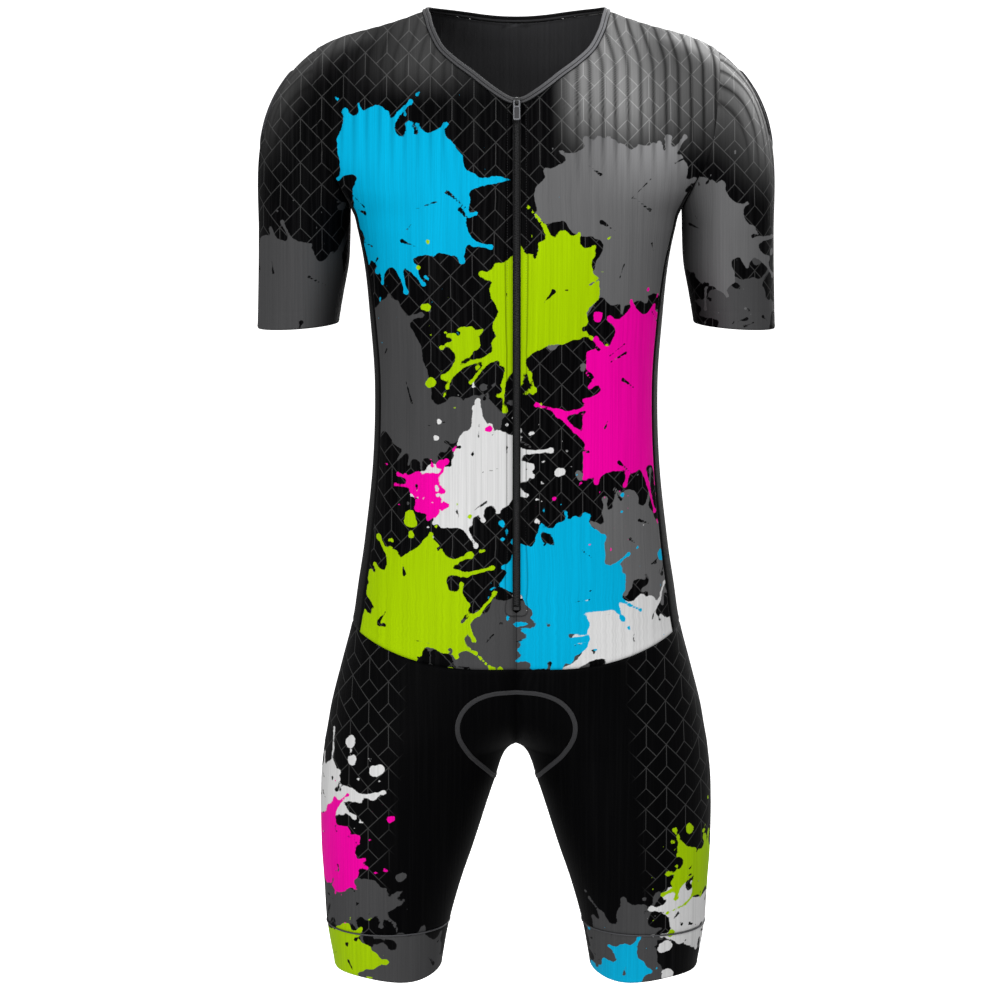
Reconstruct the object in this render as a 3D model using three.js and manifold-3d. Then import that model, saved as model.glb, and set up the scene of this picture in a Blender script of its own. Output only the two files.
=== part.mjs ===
// A short-sleeved triathlon suit with a front zip and knee-length legs, filled out as it is when worn.
// Millimetres, +Z up, the front faces -Y and the wearer's left side is +X.
// The origin is the middle of the shoulder line, where the wearer's shoulders carry the suit.
import * as THREE from 'three';
import Module from 'manifold-3d';
import { mergeVertices } from 'three/addons/utils/BufferGeometryUtils.js';

const wasm = await Module();
wasm.setup();

// Cloth and seams
const clothThickness = 1.5;
const seamGap = 0.36;
const bindingWidth = 6.5;
const bindingThickness = 2.0;
const bindingProud = 0.35;

// Levels on the body, from the shoulder line down
const waistSeamFront = -616;
const waistSeamSide = -587;
const waistSeamBack = -577;
const neckPitZ = -91;
const neckBackZ = -17;
const zipEndZ = -560;
const gripperTopZ = -881;
const legHemZ = -925;
const hemDip = { depth: 6.4, angle: -25, power: 4 };

// How softly the cloth bridges from thigh to thigh over the middle line
const cleftSoftness = 15;

// Armhole, an ellipse in height and in angle round the body
const armholeTopZ = -42;
const armholeBottomZ = -190;
const armholeHalfAngle = 35;
const sidePanelTurn = 135;
const armholeStep = 15;

// Grid of each cloth panel
const frontColumns = 7;
const sideColumns = 3;
const sideRows = 14;
const armholeRows = sidePanelTurn / armholeStep;
const neckRowsFront = 8;
const neckRowsBack = 6;

// One horizontal section of the body for each row. halfWidth is the outer edge, legCentre the middle of
// each thigh (0 where the two sides are one oval), front and back the depths from y = 0, mid the y of the
// widest point, and power how square the oval is.
const bodySections = [
  { z: 8, halfWidth: 76, legCentre: 0, front: 17, back: 37, mid: 4, power: 2.4 },
  { z: 0, halfWidth: 84, legCentre: 0, front: 22, back: 44, mid: 4, power: 2.4 },
  { z: -7, halfWidth: 93, legCentre: 0, front: 26, back: 50, mid: 4, power: 2.4 },
  { z: -18, halfWidth: 124, legCentre: 0, front: 34, back: 57, mid: 4, power: 2.4 },
  { z: -29, halfWidth: 163, legCentre: 0, front: 42, back: 64, mid: 3, power: 2.4 },
  { z: -42, halfWidth: 190, legCentre: 0, front: 49, back: 72, mid: 2, power: 2.4 },
  { z: -60, halfWidth: 205, legCentre: 0, front: 58, back: 81, mid: 2, power: 2.4 },
  { z: -80, halfWidth: 215, legCentre: 0, front: 68, back: 90, mid: 1, power: 2.4 },
  { z: -110, halfWidth: 220, legCentre: 0, front: 83, back: 100, mid: 0, power: 2.4 },
  { z: -140, halfWidth: 209, legCentre: 0, front: 94, back: 105, mid: 0, power: 2.4 },
  { z: -168, halfWidth: 180, legCentre: 0, front: 102, back: 107, mid: 0, power: 2.4 },
  { z: -190, halfWidth: 157.5, legCentre: 0, front: 107, back: 107, mid: 0, power: 2.4 },
  { z: -210, halfWidth: 151, legCentre: 0, front: 110, back: 106, mid: 0, power: 2.4 },
  { z: -244, halfWidth: 144.5, legCentre: 0, front: 112, back: 103, mid: 0, power: 2.4 },
  { z: -289, halfWidth: 140, legCentre: 0, front: 110, back: 97, mid: 0, power: 2.4 },
  { z: -354, halfWidth: 135.5, legCentre: 0, front: 104, back: 88, mid: -1, power: 2.4 },
  { z: -431, halfWidth: 137.5, legCentre: 0, front: 100, back: 84, mid: -1, power: 2.4 },
  { z: -509, halfWidth: 146, legCentre: 0, front: 101, back: 94, mid: 0, power: 2.35 },
  { z: -548, halfWidth: 152, legCentre: 3, front: 103, back: 102, mid: 1, power: 2.3 },
  { z: -587, halfWidth: 158, legCentre: 13, front: 104, back: 109, mid: 2, power: 2.25 },
  { z: -626, halfWidth: 168, legCentre: 36, front: 102, back: 113, mid: 4, power: 2.2 },
  { z: -665, halfWidth: 178, legCentre: 68, front: 98, back: 112, mid: 5, power: 2.15 },
  { z: -690, halfWidth: 182.5, legCentre: 90, front: 96, back: 109, mid: 5, power: 2.1 },
  { z: -707, halfWidth: 185.5, legCentre: 100.25, front: 94, back: 106, mid: 5, power: 2.1 },
  { z: -744, halfWidth: 189, legCentre: 107.5, front: 90, back: 99, mid: 4, power: 2.1 },
  { z: -803, halfWidth: 189, legCentre: 116, front: 82, back: 88, mid: 3, power: 2.1 },
  { z: -843, halfWidth: 186.5, legCentre: 121.2, front: 75, back: 80, mid: 2, power: 2.1 },
  { z: -883, halfWidth: 184, legCentre: 125.2, front: 67, back: 71, mid: 2, power: 2.1 },
  { z: -925, halfWidth: 177, legCentre: 125.4, front: 58, back: 62, mid: 2, power: 2.1 },
  { z: -940, halfWidth: 174.5, legCentre: 125.4, front: 55, back: 59, mid: 2, power: 2.1 },
];

// Angle of the side panel's front seam, from the middle front, at each height
const sideSeamAngles = [
  { z: -168, angle: 65 },
  { z: -190, angle: 74 },
  { z: -206, angle: 76.5 },
  { z: -244, angle: 73.5 },
  { z: -300, angle: 71 },
  { z: -450, angle: 71 },
  { z: -590, angle: 69 },
  { z: -616, angle: 69 },
];

// Edge of the cloth round the neck as seen from the front: half width and height
const neckEdgeFront = [
  { x: 0, z: neckPitZ },
  { x: 10, z: -88 },
  { x: 21, z: -81.5 },
  { x: 33, z: -73 },
  { x: 44, z: -64.5 },
  { x: 58, z: -54.5 },
  { x: 73, z: -41 },
  { x: 82.5, z: -24 },
  { x: 86.5, z: -12 },
  { x: 89, z: -5.5 },
];
const neckEdgeBack = [
  { x: 0, z: neckBackZ },
  { x: 14, z: -16.6 },
  { x: 30, z: -15.1 },
  { x: 46, z: -12.6 },
  { x: 62, z: -9.9 },
  { x: 77, z: -7.5 },
  { x: 89, z: -5.5 },
];

// Sleeve rings below the armpit: centre, half width, half depth and how far the outer side hangs lower
const sleeveRings = [
  { z: -210, x: 200.4, y: 1, halfWidth: 43.6, halfDepth: 56, drop: 0 },
  { z: -242, x: 201.3, y: -1, halfWidth: 43, halfDepth: 54, drop: 1 },
  { z: -272, x: 204.2, y: -3, halfWidth: 40.7, halfDepth: 52, drop: 2 },
  { z: -301, x: 207, y: -5, halfWidth: 38.6, halfDepth: 50, drop: 2.5 },
];
const sleeveBlendSteps = [0, 0.09, 0.2, 0.34, 0.52, 0.75];
const sleeveReach = 1.1;
const shoulderFullness = 0.28;

// Outline of the seat pad's seam as seen from the front and from the back
const padSeamWidth = 4.6;
const padSeamThickness = 1.0;
const padSeamLift = 0.8;
const padOutlineFront = [
  { x: 0, z: -638 },
  { x: 23, z: -640 },
  { x: 40.5, z: -647 },
  { x: 51.5, z: -659 },
  { x: 55.5, z: -673 },
  { x: 52.5, z: -687 },
  { x: 42.5, z: -705 },
  { x: 30, z: -721 },
  { x: 23, z: -732 },
];
const padOutlineBack = [
  { x: 25, z: -731 },
  { x: 38, z: -714 },
  { x: 54, z: -689 },
  { x: 65, z: -658 },
  { x: 61, z: -628 },
  { x: 44, z: -607 },
  { x: 22, z: -598 },
  { x: 0, z: -596 },
];
const padInnerLeg = [
  { z: -736, angle: -79 },
  { z: -738, angle: -85 },
  { z: -739, angle: -91 },
  { z: -738, angle: -97 },
  { z: -735, angle: -103 },
];
const padSteps = 14;

// Zip
const zipSlotHalf = 3.8;
const zipTapeWidth = 6.9;
const zipChainWidth = 4.6;
const zipChainHeight = 1.3;
const zipChainLift = 0.6;
const zipRows = 30;
const sliderZ = -89;
const sliderSize = { width: 6.8, length: 10, thickness: 2.2 };
const bailSize = { width: 2.2, length: 7.4, inside: 2.6, wall: 1.0 };
const pullSize = { width: 6.6, length: 21, thickness: 1.2, holeWidth: 4.0, holeLength: 4.8 };
const pullLean = 4;
const stopSize = { width: 5.6, length: 3.2, thickness: 1.5 };

// Colours of the plain solids
const colours = {
  print: 0x3a3a3c,
  black: 0x101012,
  grey: 0x4a4a4c,
  zip: 0x1c1c1e,
  metal: 0x77797c,
};

const radians = THREE.MathUtils.degToRad;
const degrees = THREE.MathUtils.radToDeg;
const { lerp, clamp } = THREE.MathUtils;

// Reads every column of a table at a height, with a smooth curve through the rows
function readTable(rows, z) {
  const last = rows.length - 1;
  let i = 0;
  while (i < last - 1 && z < rows[i + 1].z) i += 1;
  const [a, b] = [rows[i], rows[i + 1]];
  const before = rows[Math.max(i - 1, 0)];
  const after = rows[Math.min(i + 2, last)];
  const span = b.z - a.z;
  const t = clamp((z - a.z) / span, 0, 1);
  const result = {};
  for (const key of Object.keys(a)) {
    const slopeA = i > 0 ? (b[key] - before[key]) / (b.z - before.z) : (b[key] - a[key]) / span;
    const slopeB = i < last - 1 ? (after[key] - a[key]) / (after.z - a.z) : (b[key] - a[key]) / span;
    result[key] = (2 * t ** 3 - 3 * t ** 2 + 1) * a[key] + (t ** 3 - 2 * t ** 2 + t) * span * slopeA
      + (3 * t ** 2 - 2 * t ** 3) * b[key] + (t ** 3 - t ** 2) * span * slopeB;
  }
  result.z = z;
  return result;
}

const signedPower = (value, power) => Math.sign(value) * Math.abs(value) ** power;

// The point of a section at an angle: 0 is the middle of the front, 90 the outer side, 180 the back
function bodyPoint(z, angle) {
  const s = readTable(bodySections, z);
  const across = s.legCentre + (s.halfWidth - s.legCentre) * signedPower(Math.sin(radians(angle)), 2 / s.power);
  const deep = signedPower(Math.cos(radians(angle)), 2 / s.power);
  const x = Math.sqrt(Math.max(0, across ** 2 - cleftSoftness ** 2));
  const y = deep > 0 ? s.mid - (s.front + s.mid) * deep : s.mid - (s.back - s.mid) * deep;
  return new THREE.Vector3(x, y, z);
}

// The angle, on the front half, of the point that lies x from the middle line
function angleAt(z, x) {
  const s = readTable(bodySections, z);
  const share = (Math.hypot(x, cleftSoftness) - s.legCentre) / (s.halfWidth - s.legCentre);
  return degrees(Math.asin(clamp(signedPower(share, s.power / 2), -1, 1)));
}

const bodyAt = (z, x, isBack) => bodyPoint(z, isBack ? 180 - angleAt(z, x) : angleAt(z, x));

// Zero on the body's surface, positive outside
function bodyLevel(x, y, z) {
  const s = readTable(bodySections, z);
  const across = Math.abs(Math.hypot(x, cleftSoftness) - s.legCentre) / (s.halfWidth - s.legCentre);
  const deep = Math.abs(y - s.mid) / (y < s.mid ? s.front + s.mid : s.back - s.mid);
  return across ** s.power + deep ** s.power - 1;
}

function bodyNormal({ x, y, z }) {
  const h = 0.5;
  return new THREE.Vector3(
    bodyLevel(x + h, y, z) - bodyLevel(x - h, y, z),
    bodyLevel(x, y + h, z) - bodyLevel(x, y - h, z),
    bodyLevel(x, y, z + h) - bodyLevel(x, y, z - h),
  ).normalize();
}

const onBody = (point) => ({ point, normal: bodyNormal(point) });

// The armhole at a turn: 0 at the shoulder, 180 under the arm
function armhole(turn) {
  const middle = (armholeTopZ + armholeBottomZ) / 2;
  return {
    z: middle + ((armholeTopZ - armholeBottomZ) / 2) * Math.cos(radians(turn)),
    angle: 90 - armholeHalfAngle * Math.sin(radians(turn)),
  };
}

// Height of the seam between top and shorts at an angle round the body
function waistSeamZ(angle) {
  const side = Math.sin(radians(angle)) ** 2;
  return lerp(angle < 90 ? waistSeamFront : waistSeamBack, waistSeamSide, side);
}

const sideSeamAngle = (z) => readTable(sideSeamAngles, z).angle;

function splinePoint(table, share) {
  const curve = new THREE.SplineCurve(table.map((row) => new THREE.Vector2(row.x, row.z)));
  const p = curve.getPointAt(share);
  return { x: p.x, z: p.y };
}

// A sheet is a patch of the outer face of the cloth: welded points, outward normals and triangles
function makeSheet(rows, columns, at) {
  const sheet = { points: [], normals: [], triangles: [] };
  const seen = new Map();
  const index = [];
  for (let r = 0; r <= rows; r += 1) {
    for (let c = 0; c <= columns; c += 1) {
      const { point, normal } = at(r, c);
      const key = point.toArray().map((value) => Math.round(value * 1000)).join(',');
      if (!seen.has(key)) {
        seen.set(key, sheet.points.length);
        sheet.points.push(point.clone());
        sheet.normals.push(normal.clone());
      }
      index.push(seen.get(key));
    }
  }
  for (let r = 0; r < rows; r += 1) {
    for (let c = 0; c < columns; c += 1) {
      const a = index[r * (columns + 1) + c];
      const b = index[r * (columns + 1) + c + 1];
      const d = index[(r + 1) * (columns + 1) + c];
      const e = index[(r + 1) * (columns + 1) + c + 1];
      for (const face of [[a, b, e], [a, e, d]]) {
        if (new Set(face).size === 3) sheet.triangles.push(face);
      }
    }
  }
  return facingOut(sheet);
}

// Turns every triangle over if the sheet faces inwards
function facingOut(sheet) {
  let facing = 0;
  for (const [a, b, c] of sheet.triangles) {
    const [p, q, r] = [sheet.points[a], sheet.points[b], sheet.points[c]];
    facing += q.clone().sub(p).cross(r.clone().sub(p)).dot(sheet.normals[a]);
  }
  if (facing < 0) sheet.triangles = sheet.triangles.map(([a, b, c]) => [a, c, b]);
  return sheet;
}

function mirrored(sheet) {
  const flip = (v) => new THREE.Vector3(-v.x, v.y, v.z);
  return {
    points: sheet.points.map(flip),
    normals: sheet.normals.map(flip),
    triangles: sheet.triangles.map(([a, b, c]) => [a, c, b]),
  };
}

// Two sheets as one, joined where their points meet
function joined(first, second) {
  const key = (point) => point.toArray().map((value) => Math.round(value * 1000) + 0).join(',');
  const sheet = {
    points: [...first.points],
    normals: [...first.normals],
    triangles: [...first.triangles],
  };
  const known = new Map(first.points.map((point, i) => [key(point), i]));
  const place = second.points.map((point, i) => {
    if (known.has(key(point))) return known.get(key(point));
    sheet.points.push(point);
    sheet.normals.push(second.normals[i]);
    return sheet.points.length - 1;
  });
  for (const face of second.triangles) sheet.triangles.push(face.map((i) => place[i]));
  return sheet;
}

function openEdges(triangles) {
  const edges = new Map();
  for (const [a, b, c] of triangles) {
    for (const [from, to] of [[a, b], [b, c], [c, a]]) edges.set(`${from},${to}`, [from, to]);
  }
  return [...edges.values()].filter(([from, to]) => !edges.has(`${to},${from}`));
}

// A sheet given its thickness inwards, with its edges drawn back by half a seam gap
function wall(sheet, thickness = clothThickness) {
  const edges = openEdges(sheet.triangles);
  const inward = sheet.points.map(() => new THREE.Vector3());
  for (const [from, to] of edges) {
    const along = sheet.points[to].clone().sub(sheet.points[from]);
    for (const i of [from, to]) {
      inward[i].add(sheet.normals[i].clone().cross(along).normalize());
    }
  }
  const outer = sheet.points.map((point, i) => {
    const step = inward[i].lengthSq() > 0 ? inward[i].setLength(seamGap / 2) : inward[i];
    return point.clone().add(step);
  });
  const inner = outer.map((point, i) => point.clone().addScaledVector(sheet.normals[i], -thickness));
  const count = outer.length;
  const index = [];
  for (const [a, b, c] of sheet.triangles) {
    index.push(a, b, c, a + count, c + count, b + count);
  }
  for (const [from, to] of edges) {
    index.push(from, from + count, to + count, from, to + count, to);
  }
  const geometry = new THREE.BufferGeometry();
  const positions = [...outer, ...inner].flatMap((point) => point.toArray());
  geometry.setAttribute('position', new THREE.Float32BufferAttribute(positions, 3));
  geometry.setIndex(index);
  return geometry;
}

function toSolid(geometry) {
  const bare = geometry.clone();
  bare.deleteAttribute('normal');
  bare.deleteAttribute('uv');
  const merged = mergeVertices(bare, 1e-4);
  return new wasm.Manifold(new wasm.Mesh({
    numProp: 3,
    vertProperties: new Float32Array(merged.attributes.position.array),
    triVerts: new Uint32Array(merged.index.array),
  }));
}

function toGeometry(solid) {
  const mesh = solid.getMesh();
  const geometry = new THREE.BufferGeometry();
  geometry.setAttribute('position', new THREE.Float32BufferAttribute(mesh.vertProperties, 3));
  geometry.setIndex([...mesh.triVerts]);
  return geometry;
}

const suit = new THREE.Group();
suit.name = 'triathlon_suit';

function addPiece(name, geometry, colour, roughness = 0.75, metalness = 0, parent = suit) {
  const shown = geometry.index ? geometry.toNonIndexed() : geometry;
  shown.computeVertexNormals();
  const material = new THREE.MeshStandardMaterial({ color: colour, roughness, metalness });
  const mesh = new THREE.Mesh(shown, material);
  mesh.name = name;
  parent.add(mesh);
  return mesh;
}

function addPair(name, sheet, colour, thickness) {
  addPiece(`${name}_left`, wall(sheet, thickness), colour);
  addPiece(`${name}_right`, wall(mirrored(sheet), thickness), colour);
}

// Outer edge of the front and back panels at a grid row: the side seam, then the armhole
function outerEdge(row, isBack) {
  let edge;
  if (row <= sideRows) {
    const top = armhole(sidePanelTurn).z;
    const bottom = waistSeamZ(isBack ? 180 - sideSeamAngle(waistSeamSide) : sideSeamAngle(waistSeamSide));
    const z = lerp(bottom, top, row / sideRows);
    edge = { z, angle: row === sideRows ? armhole(sidePanelTurn).angle : sideSeamAngle(z) };
  } else {
    edge = armhole(sidePanelTurn - armholeStep * (row - sideRows));
  }
  return edge;
}

// Inner edge of the same row: the middle line, then the neck
function innerEdge(row, isBack) {
  const neckRows = isBack ? neckRowsBack : neckRowsFront;
  const pitZ = isBack ? neckBackZ : neckPitZ;
  const lastMiddleRow = sideRows + armholeRows - neckRows;
  const shoulderBladeZ = isBack ? -140 : -150;
  let x = 0;
  let z;
  if (row <= sideRows) {
    z = lerp(isBack ? waistSeamBack : waistSeamFront, shoulderBladeZ, row / sideRows);
  } else if (row <= lastMiddleRow) {
    z = lerp(shoulderBladeZ, pitZ, (row - sideRows) / (lastMiddleRow - sideRows));
  } else {
    const share = (row - lastMiddleRow) / neckRows;
    ({ x, z } = splinePoint(isBack ? neckEdgeBack : neckEdgeFront, share));
  }
  return { x, z, angle: angleAt(z, x) };
}

function torsoPoint(row, share, isBack) {
  const inner = innerEdge(row, isBack);
  const outer = outerEdge(row, isBack);
  const angle = lerp(inner.angle, outer.angle, share);
  let z = lerp(inner.z, outer.z, share);
  if (row === 0) z = waistSeamZ(isBack ? 180 - angle : angle);
  const point = bodyPoint(z, isBack ? 180 - angle : angle);
  if (share === 0 && inner.x === 0) point.x = 0;
  return onBody(point);
}

const torsoSheet = (isBack) => makeSheet(
  sideRows + armholeRows,
  frontColumns,
  (row, column) => torsoPoint(row, column / frontColumns, isBack),
);

// Front, cut open for the zip
const frontSheet = torsoSheet(false);
const slot = new THREE.BoxGeometry(2 * zipSlotHalf, 200, 600);
slot.translate(0, -100, zipEndZ + 300);
const slotSolid = toSolid(slot);
for (const [side, sheet] of [['left', frontSheet], ['right', mirrored(frontSheet)]]) {
  addPiece(`front_${side}`, toGeometry(toSolid(wall(sheet)).subtract(slotSolid)), colours.print);
}

// Back, one piece
const backHalf = torsoSheet(true);
addPiece('back', wall(joined(backHalf, mirrored(backHalf))), colours.print);

// Side panels, from the waist seam to the underarm
function sidePanelPoint(row, column) {
  const share = column / (2 * sideColumns);
  const isBack = share > 0.5;
  const fromSeam = isBack ? 2 - 2 * share : 2 * share;
  const seam = outerEdge(row, isBack);
  const up = row / sideRows;
  const angle = lerp(seam.angle, 90, fromSeam);
  const waist = waistSeamZ(isBack ? 180 - angle : angle) - outerEdge(0, isBack).z;
  const top = armhole(lerp(sidePanelTurn, 180, fromSeam));
  const z = seam.z + lerp(waist, top.z - armhole(sidePanelTurn).z, up);
  const bent = row === sideRows ? top.angle : angle;
  return onBody(bodyPoint(z, isBack ? 180 - bent : bent));
}
addPair('side_panel', makeSheet(sideRows, 2 * sideColumns, sidePanelPoint), colours.black);

// Sleeves: they leave the armhole along the body's surface and bend down into round rings
function sleeveRingPoint(ring, around) {
  const [cosine, sine] = [Math.cos(radians(around)), Math.sin(radians(around))];
  return new THREE.Vector3(
    ring.x + ring.halfWidth * cosine,
    ring.y - ring.halfDepth * sine,
    ring.z - ring.drop * cosine,
  );
}

function armholePoint(around) {
  const isBack = around > 180;
  const { z, angle } = armhole(isBack ? 360 - around : around);
  return bodyPoint(z, isBack ? 180 - angle : angle);
}

function sleeveStart(around) {
  const start = armholePoint(around);
  const along = armholePoint((around + 1) % 360).sub(armholePoint((around + 359) % 360)).normalize();
  const outward = bodyNormal(start).cross(along).normalize();
  const end = sleeveRingPoint(sleeveRings[0], around);
  const straight = end.clone().sub(start).normalize();
  const turn = around > 180 ? 360 - around : around;
  const fold = THREE.MathUtils.smoothstep(turn, 55, 140);
  const full = sleeveReach + shoulderFullness * (1 - THREE.MathUtils.smoothstep(turn, 0, 90));
  return { start, end, leaving: outward.lerp(straight, fold).normalize(), full, reach: end.distanceTo(start) };
}

function sleevePoint(step, around) {
  if (step >= sleeveBlendSteps.length) {
    return sleeveRingPoint(sleeveRings[step - sleeveBlendSteps.length], around);
  }
  const t = sleeveBlendSteps[step];
  const { start, end, leaving, full, reach } = sleeveStart(around);
  return start.multiplyScalar(2 * t ** 3 - 3 * t ** 2 + 1)
    .addScaledVector(leaving, (t ** 3 - 2 * t ** 2 + t) * reach * full)
    .addScaledVector(end, 3 * t ** 2 - 2 * t ** 3)
    .addScaledVector(new THREE.Vector3(0, 0, -1), (t ** 3 - t ** 2) * reach * 0.8);
}

function sleeveFace(step, column) {
  const around = (column * armholeStep) % 360;
  const point = sleevePoint(step, around);
  const onStep = (shift) => sleevePoint(clamp(step + shift, 0, sleeveSteps), around);
  const down = onStep(1).sub(onStep(step === sleeveSteps ? -1 : 0));
  const round = sleevePoint(step, (around + 2) % 360).sub(sleevePoint(step, (around + 358) % 360));
  const normal = round.cross(down).normalize();
  return { point, normal: step === 0 ? seamNormal(around, normal) : normal };
}

// At the armhole the sleeve shares the body's normal, apart from the fold under the arm
function seamNormal(around, normal) {
  const turn = around > 180 ? 360 - around : around;
  const fold = THREE.MathUtils.smoothstep(turn, 60, 140);
  return bodyNormal(armholePoint(around)).lerp(normal, fold).normalize();
}
const sleeveSteps = sleeveBlendSteps.length + sleeveRings.length - 1;
addPair('sleeve', makeSheet(sleeveSteps, 360 / armholeStep, sleeveFace), colours.grey);

// Neck binding, which carries on from the edge of the cloth round the opening
function neckPath() {
  const half = [];
  for (let i = 0; i < neckRowsFront; i += 1) {
    const { x, z } = splinePoint(neckEdgeFront, i / neckRowsFront);
    half.push(bodyAt(z, x, false));
  }
  for (let i = neckRowsBack; i >= 0; i -= 1) {
    const { x, z } = splinePoint(neckEdgeBack, i / neckRowsBack);
    half.push(bodyAt(z, x, true));
  }
  const other = half.slice(0, -1).reverse().map((p) => new THREE.Vector3(-p.x, p.y, p.z));
  return [...half, ...other];
}
const neckPoints = neckPath();
const bindingSheet = makeSheet(2, neckPoints.length - 1, (row, column) => {
  const here = neckPoints[column];
  const normal = bodyNormal(here);
  const next = neckPoints[Math.min(column + 1, neckPoints.length - 1)];
  const previous = neckPoints[Math.max(column - 1, 0)];
  const across = next.clone().sub(previous).cross(normal).normalize();
  const point = here.clone()
    .addScaledVector(across, -seamGap - (bindingWidth * row) / 2)
    .addScaledVector(normal, bindingProud);
  return { point, normal };
});
const bindingSolid = toSolid(wall(bindingSheet, bindingThickness)).subtract(slotSolid);
addPiece('neck_binding', toGeometry(bindingSolid), colours.grey);

// Shorts: four leg panels, which meet at the middle, the side and the inner leg
const legLevels = [-616, -636, -655, -672, -686, -698, -707, -716, -728, -746, -770, -798, -826, -854, gripperTopZ];
const levelRows = 5;

function innerAngle(z) {
  return angleAt(z, 0);
}

function legPoint(row, column, isBack) {
  const seamAngle = sideSeamAngle(waistSeamSide);
  const start = innerAngle(isBack ? waistSeamBack : waistSeamFront);
  const topAngle = column <= frontColumns
    ? lerp(start, seamAngle, column / frontColumns)
    : lerp(seamAngle, 90, (column - frontColumns) / sideColumns);
  const share = (topAngle - start) / (90 - start);
  const rise = waistSeamZ(isBack ? 180 - topAngle : topAngle) - waistSeamFront;
  const z = legLevels[row] + rise * (1 - clamp(row / levelRows, 0, 1));
  const angle = row === 0 ? topAngle : lerp(innerAngle(z), 90, share);
  return onBody(bodyPoint(z, isBack ? 180 - angle : angle));
}
for (const [name, isBack] of [['front', false], ['back', true]]) {
  const sheet = makeSheet(legLevels.length - 1, frontColumns + sideColumns, (r, c) => legPoint(r, c, isBack));
  addPair(`shorts_${name}`, sheet, colours.black);
}

// Leg grippers, each a closed band
const gripperRows = 3;
const gripperColumns = 2 * (frontColumns + sideColumns);
// The hem hangs a little lower towards the inside of the knee
function hemZ(angle) {
  return legHemZ - hemDip.depth * Math.max(0, Math.cos(radians(angle - hemDip.angle))) ** hemDip.power;
}

function gripperPoint(row, column) {
  const angle = -90 + (360 * (column % gripperColumns)) / gripperColumns;
  return onBody(bodyPoint(lerp(gripperTopZ, hemZ(angle), row / gripperRows), angle));
}
addPair('leg_gripper', makeSheet(gripperRows, gripperColumns, gripperPoint), colours.grey);

// Seam of the seat pad, a flat loop that lies on the shorts and runs under the crotch
function padPath() {
  const half = [];
  for (let i = 0; i <= padSteps; i += 1) {
    const { x, z } = splinePoint(padOutlineFront, i / padSteps);
    half.push(bodyAt(z, x, false));
  }
  for (const { z, angle } of padInnerLeg) half.push(bodyPoint(z, angle));
  for (let i = 0; i <= padSteps; i += 1) {
    const { x, z } = splinePoint(padOutlineBack, i / padSteps);
    half.push(bodyAt(z, x, true));
  }
  const other = half.slice(1, -1).reverse().map((p) => new THREE.Vector3(-p.x, p.y, p.z));
  return [...half, ...other];
}
const padPoints = padPath();
const padSheet = makeSheet(padPoints.length, 1, (row, column) => {
  const count = padPoints.length;
  const here = padPoints[row % count];
  const normal = bodyNormal(here);
  const along = padPoints[(row + 1) % count].clone().sub(padPoints[(row + count - 1) % count]);
  const across = along.cross(normal).normalize();
  const point = here.clone()
    .addScaledVector(across, padSeamWidth * (column - 0.5))
    .addScaledVector(normal, padSeamLift + padSeamThickness);
  return { point, normal };
});
addPiece('pad_seam', wall(padSheet, padSeamThickness), colours.grey);

// Zip: a strip down the middle, in front of it the chain of teeth, and a stop at its foot
function zipStrip(topZ, bottomZ, width, proud, thickness) {
  const sheet = makeSheet(zipRows, 2, (row, column) => {
    const middle = bodyAt(lerp(topZ, bottomZ, row / zipRows), 0, false);
    const normal = bodyNormal(middle);
    const point = middle.clone().addScaledVector(normal, proud);
    point.x = (width * (column - 1)) / 2;
    return { point, normal };
  });
  return wall(sheet, thickness);
}
const chainFront = zipChainLift + zipChainHeight;
const chainTopZ = sliderZ - sliderSize.length / 2 - 1;
addPiece('zip_tape', zipStrip(neckPitZ + 5, zipEndZ + 0.6, zipTapeWidth, 0, clothThickness), colours.zip);
addPiece('zip_chain', zipStrip(chainTopZ, zipEndZ + 5, zipChainWidth, chainFront, zipChainHeight), colours.zip, 0.5);

// A group that stands on the middle of the front, with -Y pointing straight out of the cloth
function frontGroup(z) {
  const group = new THREE.Group();
  const middle = bodyAt(z, 0, false);
  const normal = bodyNormal(middle);
  group.position.copy(middle);
  group.rotation.x = Math.atan2(-normal.z, -normal.y);
  suit.add(group);
  return group;
}

function boxAt(width, length, yBack, yFront, z = 0) {
  const box = new THREE.BoxGeometry(width, yBack - yFront, length);
  return box.translate(0, (yBack + yFront) / 2, z);
}

// Slider: a flat body, and on it a bail that the pull hangs from
const sliderBack = -0.4;
const sliderFront = sliderBack - sliderSize.thickness;
const bailFront = sliderFront - bailSize.inside - bailSize.wall;
const pivotY = sliderFront - bailSize.inside / 2;
const slider = frontGroup(sliderZ);
const sliderBody = toSolid(boxAt(sliderSize.width, sliderSize.length, sliderBack, sliderFront));
const bailBlock = toSolid(boxAt(bailSize.width, bailSize.length, sliderFront + 0.2, bailFront));
const bailHole = toSolid(boxAt(
  2 * bailSize.width,
  bailSize.length - 2 * bailSize.wall,
  sliderFront,
  sliderFront - bailSize.inside,
));
const sliderSolid = sliderBody.add(bailBlock.subtract(bailHole));
addPiece('zip_slider', toGeometry(sliderSolid), colours.metal, 0.4, 0.8, slider);

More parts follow.
